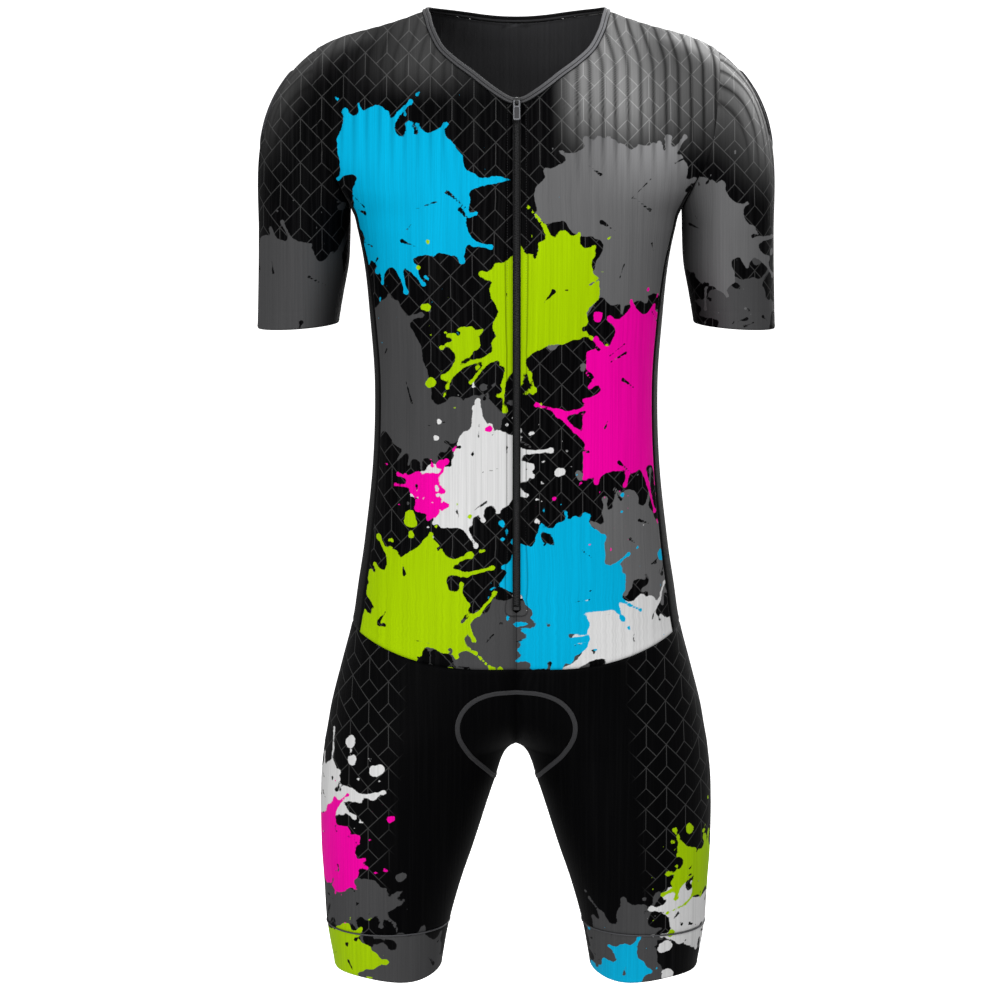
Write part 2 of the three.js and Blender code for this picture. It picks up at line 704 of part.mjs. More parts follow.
// Pull: a flat tab with a window, whose top bar runs through the bail
function pullGeometry() {
  const { width, length, thickness, holeWidth, holeLength } = pullSize;
  const bar = thickness;
  const corner = 1.6;
  const shape = new THREE.Shape();
  shape.moveTo(-width / 2, bar / 2);
  shape.lineTo(-width / 2, bar / 2 - length + corner);
  shape.absarc(-width / 2 + corner, bar / 2 - length + corner, corner, Math.PI, 1.5 * Math.PI, false);
  shape.absarc(width / 2 - corner, bar / 2 - length + corner, corner, 1.5 * Math.PI, 2 * Math.PI, false);
  shape.lineTo(width / 2, bar / 2);
  const hole = new THREE.Path();
  hole.moveTo(-holeWidth / 2, -bar / 2);
  hole.lineTo(holeWidth / 2, -bar / 2);
  hole.lineTo(holeWidth / 2, -bar / 2 - holeLength);
  hole.lineTo(-holeWidth / 2, -bar / 2 - holeLength);
  shape.holes.push(hole);
  const plate = new THREE.ExtrudeGeometry(shape, { depth: thickness, bevelEnabled: false, curveSegments: 3 });
  return plate.translate(0, 0, -thickness / 2).rotateX(Math.PI / 2);
}
const hinge = new THREE.Group();
hinge.position.set(0, pivotY, 0);
hinge.rotation.x = radians(pullLean);
slider.add(hinge);
addPiece('zip_pull', pullGeometry(), colours.metal, 0.4, 0.8, hinge);

// Stop at the foot of the zip
const stop = frontGroup(zipEndZ + 2.6);
const stopBox = boxAt(stopSize.width, stopSize.length, -seamGap, -seamGap - stopSize.thickness);
addPiece('zip_bottom_stop', stopBox, colours.metal, 0.4, 0.8, stop);

export default suit;
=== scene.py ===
# A triathlon suit, filled out as it is when worn: printed stretch knit, a front zip, elastic leg bands.
# Shapes are worked out in millimetres and handed to Blender in metres. The front faces -Y.
import math
from functools import partial

import bmesh
import bpy
import numpy as np
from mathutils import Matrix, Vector


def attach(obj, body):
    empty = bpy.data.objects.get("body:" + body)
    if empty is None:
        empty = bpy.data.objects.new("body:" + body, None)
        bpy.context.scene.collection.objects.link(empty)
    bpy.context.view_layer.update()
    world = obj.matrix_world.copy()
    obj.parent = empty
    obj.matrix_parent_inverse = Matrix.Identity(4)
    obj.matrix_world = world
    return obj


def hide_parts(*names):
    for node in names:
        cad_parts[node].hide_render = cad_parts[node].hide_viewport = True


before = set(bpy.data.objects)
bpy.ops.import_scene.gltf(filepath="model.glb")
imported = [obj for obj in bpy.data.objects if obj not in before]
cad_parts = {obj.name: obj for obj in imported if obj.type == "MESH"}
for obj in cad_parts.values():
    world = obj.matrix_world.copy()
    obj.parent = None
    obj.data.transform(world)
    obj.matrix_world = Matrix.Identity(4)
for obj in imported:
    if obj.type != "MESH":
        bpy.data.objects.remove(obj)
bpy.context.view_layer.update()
print("frame loaded:", len(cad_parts), "CAD nodes")

detail = 1.0  # coarser cloth while trying things
sides = (("left", 1), ("right", -1))  # every pair is made for the wearer's left and mirrored

# The body that the suit is cut for: one horizontal section for each row
# z, half width, middle of the thigh, front depth, back depth, y of the widest point, squareness
bodySections = np.array([
    (8, 76, 0, 17, 37, 4, 2.4),
    (0, 84, 0, 22, 44, 4, 2.4),
    (-7, 93, 0, 26, 50, 4, 2.4),
    (-18, 124, 0, 34, 57, 4, 2.4),
    (-29, 163, 0, 42, 64, 3, 2.4),
    (-42, 190, 0, 49, 72, 2, 2.4),
    (-60, 205, 0, 58, 81, 2, 2.4),
    (-80, 215, 0, 68, 90, 1, 2.4),
    (-110, 220, 0, 83, 100, 0, 2.4),
    (-140, 209, 0, 94, 105, 0, 2.4),
    (-168, 180, 0, 102, 107, 0, 2.4),
    (-190, 157.5, 0, 107, 107, 0, 2.4),
    (-210, 151, 0, 110, 106, 0, 2.4),
    (-244, 144.5, 0, 112, 103, 0, 2.4),
    (-289, 140, 0, 110, 97, 0, 2.4),
    (-354, 135.5, 0, 104, 88, -1, 2.4),
    (-431, 137.5, 0, 100, 84, -1, 2.4),
    (-509, 146, 0, 101, 94, 0, 2.35),
    (-548, 152, 3, 103, 102, 1, 2.3),
    (-587, 158, 13, 104, 109, 2, 2.25),
    (-626, 168, 36, 102, 113, 4, 2.2),
    (-665, 178, 68, 98, 112, 5, 2.15),
    (-690, 182.5, 90, 96, 109, 5, 2.1),
    (-707, 185.5, 100.25, 94, 106, 5, 2.1),
    (-744, 189, 107.5, 90, 99, 4, 2.1),
    (-803, 189, 116, 82, 88, 3, 2.1),
    (-843, 186.5, 121.2, 75, 80, 2, 2.1),
    (-883, 184, 125.2, 67, 71, 2, 2.1),
    (-925, 177, 125.4, 58, 62, 2, 2.1),
    (-940, 174.5, 125.4, 55, 59, 2, 2.1),
], float)

# z and the angle of the side panel's front seam, from the middle front
sideSeam = np.array([(-168, 65), (-190, 74), (-206, 76.5), (-244, 73.5), (-300, 71),
                     (-450, 71), (-590, 69), (-616, 69)], float)

# Edge of the cloth round the neck, x and z, and the outline of the seat pad
neckFront = [(0, -91), (10, -88), (21, -81.5), (33, -73), (44, -64.5), (58, -54.5), (73, -41),
             (82.5, -24), (86.5, -12), (89, -5.5)]
neckBack = [(0, -17), (14, -16.6), (30, -15.1), (46, -12.6), (62, -9.9), (77, -7.5), (89, -5.5)]
padFront = [(0, -638), (23, -640), (40.5, -647), (51.5, -659), (55.5, -673), (52.5, -687),
            (42.5, -705), (30, -721), (23, -732)]
padInner = [(-736, -79), (-738, -85), (-739, -91), (-738, -97), (-735, -103)]
padBack = [(25, -731), (38, -714), (54, -689), (65, -658), (61, -628), (44, -607), (22, -598), (0, -596)]

# Sleeve rings under the armpit: z, centre x, centre y, half width, half depth, drop of the outer side
sleeveRings = np.array([(-210, 200.4, 1, 43.6, 56, 0), (-242, 201.3, -1, 43, 54, 1),
                        (-272, 204.2, -3, 40.7, 52, 2), (-301, 207, -5, 38.6, 50, 2.5)], float)

body = dict(cleft=15, waistFront=-616, waistSide=-587, waistBack=-577, neckPit=-91, neckBack=-17, zipEnd=-560,
            crotch=-707, gripperTop=-881, legHem=-925, hemDip=6.4, hemDipAngle=-25,
            bladeFront=-150, bladeBack=-140)
arm = dict(top=-42, bottom=-190, halfAngle=35, sideTurn=135, rowTurn=15, rows=9)
cloth = dict(thickness=1.5, sideRows=14, neckRowsFront=8, neckRowsBack=6, zipHalf=3.7)

# Fineness of the cloth: steps from each row of the pattern to the next, and steps across the piece
legRows = [8, 8, 7, 6, 5, 4, 5, 5, 8, 10, 12, 12, 12, 12]
grids = dict(front=([16] * 14 + [26] + [8] * 7 + [26], 96), back=([10] * 17 + [8] * 5 + [26], 60),
             side=([8] * 14, 24), legFront=(legRows, 84), legBack=(legRows, 56))


def lerp(a, b, t):
    return a + (b - a) * t


def smooth(x, low, high):
    t = np.clip((np.asarray(x, float) - low) / (high - low), 0, 1)
    return t * t * (3 - 2 * t)


def hump(x, at, wide):
    return np.exp(-(((x - at) / wide) ** 2))


def relief(run, humps, base=0.0):
    # Soft ridges and dips of the cloth's face: height, place and width of each, in mm
    for height, at, wide in humps:
        base = base + height * hump(run, at, wide)
    return base


def runAlong(path):
    # Length of a path up to each of its points
    return np.concatenate([[0], np.cumsum(np.linalg.norm(np.diff(path, axis=0), axis=1))])


def readAt(s, run, values):
    return np.stack([np.interp(s, run, values[:, k]) for k in range(values.shape[1])], -1)


def readTable(rows, z):
    # A smooth curve through each column, read at z; the rows run downwards
    z = np.asarray(z, float)
    heights = rows[:, 0]
    last = len(rows) - 1
    slopes = np.empty_like(rows)
    slopes[1:-1] = (rows[2:] - rows[:-2]) / (heights[2:] - heights[:-2])[:, None]
    slopes[0] = (rows[1] - rows[0]) / (heights[1] - heights[0])
    slopes[-1] = (rows[-1] - rows[-2]) / (heights[-1] - heights[-2])
    i = np.clip(np.searchsorted(-heights, -z, side="right") - 1, 0, last - 1)
    span = (heights[i + 1] - heights[i])[..., None]
    t = np.clip((z[..., None] - heights[i][..., None]) / span, 0, 1)
    value = ((2 * t**3 - 3 * t**2 + 1) * rows[i] + (t**3 - 2 * t**2 + t) * span * slopes[i]
             + (3 * t**2 - 2 * t**3) * rows[i + 1] + (t**3 - t**2) * span * slopes[i + 1])
    return [value[..., k] for k in range(rows.shape[1])]


def bodyPoint(z, angle):
    # 0 degrees is the middle of the front, 90 the outer side, 180 the back
    z, angle = np.broadcast_arrays(np.asarray(z, float), np.asarray(angle, float))
    _, wide, leg, front, back, mid, power = readTable(bodySections, z)
    s, c = np.sin(np.radians(angle)), np.cos(np.radians(angle))
    across = leg + (wide - leg) * np.sign(s) * np.abs(s) ** (2 / power)
    deep = np.sign(c) * np.abs(c) ** (2 / power)
    x = np.sqrt(np.maximum(0, across**2 - body["cleft"] ** 2))
    y = np.where(deep > 0, mid - (front + mid) * deep, mid - (back - mid) * deep)
    return np.stack([x, y, z], -1)


def angleAt(z, x):
    _, wide, leg, _, _, _, power = readTable(bodySections, z)
    share = (np.hypot(x, body["cleft"]) - leg) / (wide - leg)
    return np.degrees(np.arcsin(np.clip(np.sign(share) * np.abs(share) ** (power / 2), -1, 1)))


def bodyLevel(p):
    _, wide, leg, front, back, mid, power = readTable(bodySections, p[..., 2])
    across = np.abs(np.hypot(p[..., 0], body["cleft"]) - leg) / (wide - leg)
    deep = np.abs(p[..., 1] - mid) / np.where(p[..., 1] < mid, front + mid, back - mid)
    return across**power + deep**power - 1


def bodyNormal(p):
    return unit(np.stack([bodyLevel(p + s) - bodyLevel(p - s) for s in np.eye(3) * 0.5], -1))


def unit(v):
    return v / np.maximum(np.linalg.norm(v, axis=-1, keepdims=True), 1e-9)


def curveThrough(points, share):
    # A smooth curve through the points, read at shares of its length
    p = np.asarray(points, float)
    p = np.vstack([2 * p[0] - p[1], p, 2 * p[-1] - p[-2]]) if len(p) > 2 else p
    fine = []
    for k in range(1, len(p) - 2):
        t = np.linspace(0, 1, 40, endpoint=k == len(p) - 3)[:, None]
        a, b, c, d = p[k - 1], p[k], p[k + 1], p[k + 2]
        if k == 1:
            a = b  # the end slopes of the CAD curve
        if k == len(p) - 3:
            d = c
        fine.append(0.5 * (2 * b + (c - a) * t + (2 * a - 5 * b + 4 * c - d) * t**2
                           + (3 * b - a - 3 * c + d) * t**3))
    fine = np.vstack(fine)
    run = runAlong(fine)
    return readAt(np.asarray(share) * run[-1], run, fine)


def armhole(turn):
    half, middle = (arm["top"] - arm["bottom"]) / 2, (arm["top"] + arm["bottom"]) / 2
    return (middle + half * np.cos(np.radians(turn)),
            90 - arm["halfAngle"] * np.sin(np.radians(turn)))


def waistZ(angle):
    side = np.sin(np.radians(angle)) ** 2
    return lerp(np.where(angle < 90, body["waistFront"], body["waistBack"]), body["waistSide"], side)


def sideAngle(z):
    return readTable(sideSeam, z)[1]


# Where a point of the print lies, in millimetres across and up. The print sits between a flat picture of
# the front and the true length along the cloth, so that it closes up only a little towards the sides.
tableZ = np.arange(12, -946, -2.0)
tableAngle = np.arange(-110, 111, 1.0)
arcStep = np.diff(bodyPoint(*np.meshgrid(tableZ, tableAngle, indexing="ij")), axis=1)
arcs = np.pad(np.cumsum(np.linalg.norm(arcStep, axis=-1), axis=1), ((0, 0), (1, 0)))


def readArc(z, angle):
    i = np.clip((tableZ[0] - z) / 2, 0, len(tableZ) - 1.001)
    j = np.clip(angle - tableAngle[0], 0, len(tableAngle) - 1.001)
    i0, j0 = i.astype(int), j.astype(int)
    fi, fj = i - i0, j - j0
    return lerp(lerp(arcs[i0, j0], arcs[i0, j0 + 1], fj), lerp(arcs[i0 + 1, j0], arcs[i0 + 1, j0 + 1], fj), fi)


def printAcross(z, angle, x, base=0.0, share=0.4):
    # angle counts from the middle front, or from the middle back on the back pieces
    z, angle, x = np.broadcast_arrays(np.asarray(z, float), angle, x)
    arc = readArc(z, angle) - readArc(z, angleAt(z, 0 * z + base))
    return lerp(x, base + arc, share * smooth(-z, 120, 230))


# Paint of the print. It is a splatter of its own: lumpy pools, tapering arms with beads, stray drops.
# Colours in the order in which they lie over one another.
paints = dict(charcoal="#4b4b4c", grey="#6a6a6b", white="#e4e4e4", cyan="#00b5e4", lime="#abd400",
              magenta="#ff00ab")
# each splash: paint, middle, size, the way it was thrown in degrees, how far drawn out that way, arms, their
# reach, stray drops, seed
poolColumns = ("paint", "at", "size", "throw", "stretch", "arms", "reach", "drops", "seed")
frontPools = [
    ("grey", (112, -186), 88, -95, 1.25, 24, 0.7, 26, 5),
    ("charcoal", (-122, -352), 84, -30, 1.3, 22, 0.6, 18, 8),
    ("charcoal", (-8, -596), 56, 170, 1.5, 18, 0.7, 14, 10),
    ("grey", (118, -500), 50, 120, 1.2, 15, 0.8, 14, 9),
    ("white", (-40, -440), 50, 35, 1.5, 20, 0.8, 22, 21),
    ("white", (108, -590), 58, 160, 1.3, 18, 0.9, 18, 22),
    ("cyan", (-102, -182), 80, -70, 1.2, 22, 0.7, 24, 31),
    ("cyan", (46, -540), 62, 75, 1.3, 20, 0.8, 20, 32),
    ("lime", (10, -276), 62, -150, 1.35, 20, 0.8, 20, 41),
    ("lime", (-96, -560), 62, 40, 1.2, 20, 0.8, 18, 42),
    ("magenta", (108, -372), 74, -120, 1.3, 22, 0.8, 22, 51),
    ("magenta", (-86, -452), 20, 100, 1.4, 9, 1.2, 10, 52),
]
backPools = [
    ("grey", (-104, -190), 84, 60, 1.2, 22, 0.7, 18, 61),
    ("charcoal", (106, -350), 76, 120, 1.3, 20, 0.7, 14, 62),
    ("white", (-76, -530), 56, 40, 1.4, 18, 0.8, 14, 66),
    ("cyan", (84, -190), 70, -120, 1.2, 20, 0.8, 16, 63),
    ("lime", (-52, -360), 68, -50, 1.3, 20, 0.8, 16, 64),
    ("magenta", (70, -500), 66, 130, 1.3, 20, 0.8, 16, 65),
]
sleevePools = {
    -1: [("charcoal", (-224, -296), 76, 75, 1.2, 24, 0.7, 20, 71),
         ("charcoal", (-350, -290), 72, 100, 1.2, 20, 0.7, 14, 75)],
    1: [("grey", (174, -204), 62, -40, 1.3, 20, 0.8, 20, 73),
        ("charcoal", (214, -284), 34, 30, 1.4, 14, 0.9, 14, 74),
        ("charcoal", (350, -210), 66, -100, 1.2, 20, 0.7, 14, 76)],
}
legPools = {
    -1: [("charcoal", (-166, -846), 38, 0, 1.3, 15, 1.0, 12, 81),
         ("white", (-190, -748), 34, 30, 1.3, 14, 1.1, 16, 82),
         ("magenta", (-196, -800), 46, -10, 1.2, 16, 0.9, 14, 83),
         ("charcoal", (-100, -916), 48, 170, 1.3, 12, 0.7, 8, 84),
         ("lime", (-190, -912), 48, -10, 1.3, 12, 0.6, 8, 89)],
    1: [("charcoal", (104, -896), 44, 80, 1.3, 16, 0.9, 12, 85),
        ("lime", (192, -824), 34, 150, 1.3, 15, 1.1, 14, 87),
        ("white", (178, -874), 34, 140, 1.3, 14, 0.9, 12, 86),
        ("cyan", (92, -930), 32, 60, 1.4, 11, 0.8, 8, 88)],
}


def softMin(a, b, k):
    h = np.clip(0.5 + 0.5 * (b - a) / k, 0, 1)
    return lerp(b, a, h) - k * h * (1 - h)


def taper(x, y, start, end, wide, narrow):
    # Distance to a strand whose half width goes from wide to narrow
    run = end - start
    t = np.clip(((x - start[0]) * run[0] + (y - start[1]) * run[1]) / run.dot(run), 0, 1)
    return np.hypot(x - start[0] - run[0] * t, y - start[1] - run[1] * t) - lerp(wide, narrow, t**0.6)


def heading(turn):
    return np.array([math.cos(turn), math.sin(turn)])


def pool(u, v, spec):
    # Signed distance to one splash, negative inside: lumps that ran together, arms thrown mostly to one
    # side with beads at their ends, short lobes along the edge, stray drops, and slits the paint missed
    size, rng = spec["size"], np.random.default_rng(spec["seed"])
    x, y = u - spec["at"][0], v - spec["at"][1]
    away = np.hypot(x, y)
    near = away < size * (1.9 + spec["reach"]) + 20
    d = away - size
    x, y = x[near], y[near]
    wayOut = math.radians(spec["throw"])
    ahead, beside = heading(wayOut) * spec["stretch"], heading(wayOut + math.pi / 2) / spec["stretch"]
    inside = np.full(x.shape, 99.0)
    lumps = [(np.zeros(2), 0.58 * size)]
    for k in range(6):
        turn = (k + rng.uniform(0.0, 1.0)) * math.pi / 3
        step = size * rng.uniform(0.42, 0.8)
        centre = ahead * step * math.cos(turn) + beside * step * math.sin(turn)
        lumps.append((centre, size * rng.uniform(0.2, 0.42)))
    for centre, r in lumps:
        theta = np.arctan2(y - centre[1], x - centre[0])
        edge = np.ones_like(theta)
        for waves, depth in ((2, 0.11), (3, 0.09), (5, 0.06), (8, 0.035), (13, 0.016)):
            edge += depth * np.sin(waves * theta + rng.uniform(0, 2 * math.pi))
        inside = softMin(inside, np.hypot(x - centre[0], y - centre[1]) - r * edge, 0.2 * size)
    for k in range(spec["arms"]):
        turn = wayOut + (k + rng.uniform(-0.45, 0.45)) * 2 * math.pi / spec["arms"]
        favour = 0.5 + 0.5 * math.cos(turn - wayOut)
        way = heading(turn)
        side = np.array([-way[1], way[0]])
        facing = [max(0.05, float(way @ centre) + r) for centre, r in lumps]
        heart, r = lumps[int(rng.choice(len(lumps), p=np.array(facing) / sum(facing)))]
        length = size * spec["reach"] * (0.25 + 1.0 * favour) * rng.uniform(0.15, 1.0) ** 1.7
        root = size * rng.uniform(0.03, 0.085)
        tip = rng.uniform(0.7, 1.5)
        bend = side * length * rng.uniform(-0.2, 0.2)
        a = heart + way * r * 0.6
        b = heart + way * (r * 0.95 + 0.45 * length) + bend
        c = heart + way * (r + length) + bend * 0.3
        middle = lerp(root, tip, 0.72)
        strand = softMin(taper(x, y, a, b, root, middle), taper(x, y, b, c, middle, tip), 1.5)
        bead = np.hypot(x - c[0], y - c[1]) - tip * rng.uniform(1.1, 2.6)
        inside = softMin(inside, softMin(strand, bead, 3), 7)
        if rng.random() < 0.4:  # a drop thrown off ahead of the arm
            c = c + way * rng.uniform(4, 16)
            inside = np.minimum(inside, taper(x, y, c, c + way * rng.uniform(0.5, 5), tip * 1.3, tip * 0.7))
    for k in range(spec["arms"]):  # short lobes
        heart, r = lumps[rng.integers(0, len(lumps))]
        turn = rng.uniform(0, 2 * math.pi)
        way = heading(turn)
        a, c = heart + way * r * 0.8, heart + way * (r * 1.05 + rng.uniform(1, 10))
        inside = softMin(inside, taper(x, y, a, c, rng.uniform(1.5, 4.5), rng.uniform(0.8, 2.2)), 5)
    for k in range(spec["drops"]):
        turn = wayOut + rng.normal(0, 1.1)
        way = heading(turn)
        c, r = way * size * rng.uniform(1.0, 1.3 + spec["reach"] * 0.7), 0.6 + 6.5 * rng.random() ** 6
        inside = np.minimum(inside, taper(x, y, c, c + way * r * rng.uniform(0.05, 1.0), r, r * 0.75))
    for k in range(10):
        heart, r = lumps[rng.integers(0, len(lumps))]
        turn = rng.uniform(0, 2 * math.pi)
        c = heart + r * rng.uniform(0.7, 1.15) * heading(turn)
        lie = turn + rng.uniform(-0.45, 0.45)
        run = size * rng.uniform(0.06, 0.3) * heading(lie)
        inside = np.maximum(inside, -taper(x, y, c, c + run, rng.uniform(0.4, 2.4), 0.3))
    d[near] = inside
    return d


def paintEdges(u, v, pools):
    edges = {}
    for name in paints:
        d = np.full(u.shape, 60.0)
        for row in pools:
            if row[0] == name:
                d = np.minimum(d, pool(u, v, dict(zip(poolColumns, row))))
        edges[name] = np.clip(d, -8, 8)
    return edges


# Shoulder flutes, narrow grooves knitted in from the shoulder seam down to the chest; their colour is darkened as
# painted shade, and the grooves and their painted shade are weaker on the right side
flutes = dict(pitch=11.8, first=56.0, width=3.6, depth=0.5, full=-90, gone=-176, rightSide=0.4, shade=0.84,
              lean=12, innermost=(40, 52))


def fluteDepth(across, z):
    lean = across + flutes["lean"] * smooth(z, -60, -5)
    offset = np.abs(((lean - flutes["first"]) / flutes["pitch"] + 0.5) % 1 - 0.5) * flutes["pitch"]
    shown = smooth(z, flutes["gone"], flutes["full"]) * smooth(lean, *flutes["innermost"])
    return hump(offset, 0, flutes["width"] / 2) * shown


def edgeRun(p, axis):
    # How far each grid point is from the first and the last line of the grid
    step = np.linalg.norm(np.diff(p, axis=axis), axis=-1)
    pad = [(0, 0), (0, 0)]
    pad[axis] = (1, 0)
    run = np.pad(np.cumsum(step, axis=axis), pad)
    whole = run[-1:, :] if axis == 0 else run[:, -1:]
    return run, whole - run


def edgeDistance(p, edges):
    # How far each grid point is from the nearest of the named edges, those that are sewn or hemmed
    reach = dict(zip(("top", "bottom", "left", "right"), (*edgeRun(p, 0), *edgeRun(p, 1))))
    return np.minimum(99.0, np.min([np.broadcast_to(reach[edge], p.shape[:2]) for edge in edges], axis=0))


# Sewn edges: the cloth turns down into its seams, behind a slight swelling
seamRelief = [(-0.75, 0, 1.5), (0.22, 4.2, 2.2)]


def makeMesh(name, verts, faces, materials, attributes=None, paint=None, mirror=1):
    # verts in millimetres; faces as an array or as lists of any length; attributes hold a value for each vertex
    faces = faces.tolist() if isinstance(faces, np.ndarray) else faces
    mesh = bpy.data.meshes.new(name)
    mesh.from_pydata((np.asarray(verts) * (mirror, 1, 1) / 1000).tolist(), [],
                     faces if mirror > 0 else [face[::-1] for face in faces])
    for material in materials:
        mesh.materials.append(material)
    if paint is not None:
        mesh.polygons.foreach_set("material_index", np.asarray(paint, np.int32))
    mesh.polygons.foreach_set("use_smooth", np.ones(len(faces), bool))
    mesh.validate()
    for key, values in (attributes or {}).items():
        layer = mesh.attributes.new(key, "FLOAT", "POINT")
        layer.data.foreach_set("value", np.asarray(values, np.float32).ravel())
    return linked(name, mesh)


def linked(name, data):
    piece = bpy.data.objects.new(name, data)
    bpy.context.scene.collection.objects.link(piece)
    return piece


def turnOutward(piece, fillEnds=False, creaseAngle=None):
    work = bmesh.new()
    work.from_mesh(piece.data)
    if fillEnds:
        bmesh.ops.holes_fill(work, edges=[e for e in work.edges if e.is_boundary], sides=0)
    bmesh.ops.recalc_face_normals(work, faces=work.faces)
    if creaseAngle is not None:
        for edge in work.edges:
            edge.smooth = not (len(edge.link_faces) == 2 and edge.calc_face_angle(0) > math.radians(creaseAngle))
    work.to_mesh(piece.data)
    work.free()
    return piece


def gridFaces(rows, columns, closed=False, ring=False):
    # closed joins the last column to the first, ring the last row to the first
    a, b = np.indices((rows if ring else rows - 1, columns if closed else columns - 1)).reshape(2, -1)
    n, below = (b + 1) % columns, (a + 1) % rows
    return np.stack([a * columns + b, a * columns + n, below * columns + n, below * columns + b], 1)


def looksInward(grid, outward):
    return np.dot(np.cross(grid[0, 1] - grid[0, 0], grid[1, 0] - grid[0, 0]), outward) < 0


def shell(name, p, normal, attributes, materials, closed=False, mirror=1, parted=None):
    # A wall from a grid of outer points: outer face, inner face and a rim along every open edge.
    # parted tells, row by row, whether the two middle columns stand apart, as they do above the back neck.
    rows, columns = p.shape[:2]
    count = rows * columns
    outer = gridFaces(rows, columns, closed)
    if parted is not None:
        half = columns // 2
        outer = outer[outer[:, 0] % columns != half - 1]
        welded = np.arange(count)
        oneLine = np.flatnonzero(~parted) * columns + half
        welded[oneLine - 1] = oneLine
        outer = welded[outer]
    first, second = outer.ravel(), np.roll(outer, -1, 1).ravel()
    free = ~np.isin(first * count + second, second * count + first)
    first, second = first[free], second[free]
    rim = np.stack([second, first, first + count, second + count], 1)
    faces = np.vstack([outer, outer[:, ::-1] + count, rim])
    if looksInward(p, normal[0, 0]):
        faces = faces[:, ::-1]
    verts = np.concatenate([p, p - normal * cloth["thickness"]]).reshape(-1, 3)
    inner = np.zeros(len(faces), int)
    inner[len(outer):2 * len(outer)] = 1
    used, faces = np.unique(faces, return_inverse=True)
    doubled = {key: np.concatenate([np.ravel(value)] * 2)[used] for key, value in attributes.items()}
    return makeMesh(name, verts[used], faces.reshape(-1, 4), materials, doubled, inner, mirror)


def steps(count):
    return max(1, round(count * detail))


def gridShares(name):
    # Row numbers of a piece's grid, whole where the pattern has a row, and shares of its width
    counts, columns = grids[name]
    parts = [k + np.arange(steps(n)) / steps(n) for k, n in enumerate(counts)]
    return np.concatenate(parts + [[float(len(counts))]]), np.linspace(0, 1, steps(columns) + 1)


def feed(node, values):
    # Links or sets a node's sockets, told by name or by place
    for key, value in values.items():
        if isinstance(value, bpy.types.Node):
            value = value.outputs[0]
        if isinstance(value, bpy.types.NodeSocket):
            node.id_data.links.new(value, node.inputs[key])
        else:
            node.inputs[key].default_value = value


def addNode(tree, kind, *values, **settings):
    # kind is the node's type, and for arithmetic its operation too, as in "Math ADD". Values go to the first
    # sockets in turn, or to the sockets that a dictionary names.
    kind, _, operation = kind.partition(" ")
    node = tree.nodes.new("ShaderNode" + kind)
    if operation:
        node.operation = operation
    for key, value in settings.items():
        setattr(node, key, value)
    feed(node, values[0] if values and isinstance(values[0], dict) else dict(enumerate(values)))
    return node


# settings of a Mix node: one that lays a colour over another, and one that darkens or lightens a colour
blend = dict(data_type="RGBA")
tint = dict(data_type="RGBA", blend_type="MULTIPLY")


def linear(hexColour):
    values = [int(hexColour[i:i + 2], 16) / 255 for i in (1, 3, 5)]
    return (*[v / 12.92 if v <= 0.04045 else ((v + 0.055) / 1.055) ** 2.4 for v in values], 1.0)


def newMaterial(name, **settings):
    # The material, what adds a node to it, and its shader with the given settings
    material = bpy.data.materials.new(name)
    material.use_nodes = True
    shader = material.node_tree.nodes["Principled BSDF"]
    feed(shader, {key.replace("_", " "): value for key, value in settings.items()})
    return material, partial(addNode, material.node_tree), shader


def knit(add, shader, colour, across, up, ribPitch, ribDepth, groove=None):
    # Fine ribs of a warp knit: long uneven streaks down the cloth with small loops between them
    drawnOut = add("CombineXYZ", across, add("Math MULTIPLY", up, 0.012))
    ribs = add("TexNoise", {"Vector": drawnOut, "Scale": 1 / ribPitch, "Detail": 2.0, "Roughness": 0.75})
    wide = add("TexNoise", {"Vector": drawnOut, "Scale": 0.16, "Detail": 1.0})
    loops = add("TexWave", {"Vector": add("CombineXYZ", across, up), "Scale": 0.55, "Distortion": 1.2,
                            "Detail": 1.0}, wave_type="BANDS", bands_direction="DIAGONAL")
    both = add("Math MULTIPLY", add("MapRange", ribs, 0.3, 0.7, 0.89, 1.07),
               add("MapRange", wide, 0.3, 0.7, 0.96, 1.03))
    tone = add("Mix", {0: 1.0, 6: colour, 7: both}, **tint)
    bump = add("Bump", {"Strength": ribDepth, "Distance": 0.0006,
                        "Height": add("Math MULTIPLY_ADD", loops, 0.12, ribs)})
    if groove:
        bump = add("Bump", {"Strength": 0.8, "Distance": 0.0006, "Height": add("Math MULTIPLY", groove, -1.0),
                            "Normal": bump})
    feed(shader, {"Base Color": tone.outputs[2], "Normal": bump})


# The ground print: a net of cubes drawn in outline, and how light its lines are on the black and on the painted
# shoulder highlight
cube = dict(pitch=40.5, u=1.0, v=-64.0, halfLine=0.3, onBlack=0.052, onPaintedLight=0.37)


def cubeLattice(add, across, up):
    # Distance to the nearest line of the net, then a soft-edged line from it
    pitch, slope = cube["pitch"], cube["pitch"] / math.sqrt(2)
    a, b = (add("Math FRACT", add("Math MULTIPLY_ADD", add(way, across, up), 1 / pitch,
                                  20 - (cube["u"] + sign * cube["v"]) / pitch))
            for way, sign in (("Math ADD", 1), ("Math SUBTRACT", -1)))
    fromA, fromB = (add("Math ABSOLUTE", add("Math SUBTRACT", x, 0.5)) for x in (a, b))
    rim = add("Math MULTIPLY", add("Math SUBTRACT", 0.5, add("Math MAXIMUM", fromA, fromB)), slope)
    upright = add("Math ABSOLUTE", add("Math SUBTRACT", add("Math ADD", a, b), 1.0))
    # the other lines are drawn in one half of the cell; in the other half they count as far away
    halves = [(add("Math LESS_THAN", a, b), upright, pitch / 2), (add("Math GREATER_THAN", a, 0.5), fromB, slope),
              (add("Math LESS_THAN", b, 0.5), fromA, slope)]
    nearest = rim
    for hidden, away, size in halves:
        away = add("Math MULTIPLY_ADD", hidden, 9.0, add("Math MULTIPLY", away, size))
        nearest = add("Math MINIMUM", nearest, away)
    return add("MapRange", nearest, cube["halfLine"] - 0.2, cube["halfLine"] + 0.3, 1.0, 0.0)


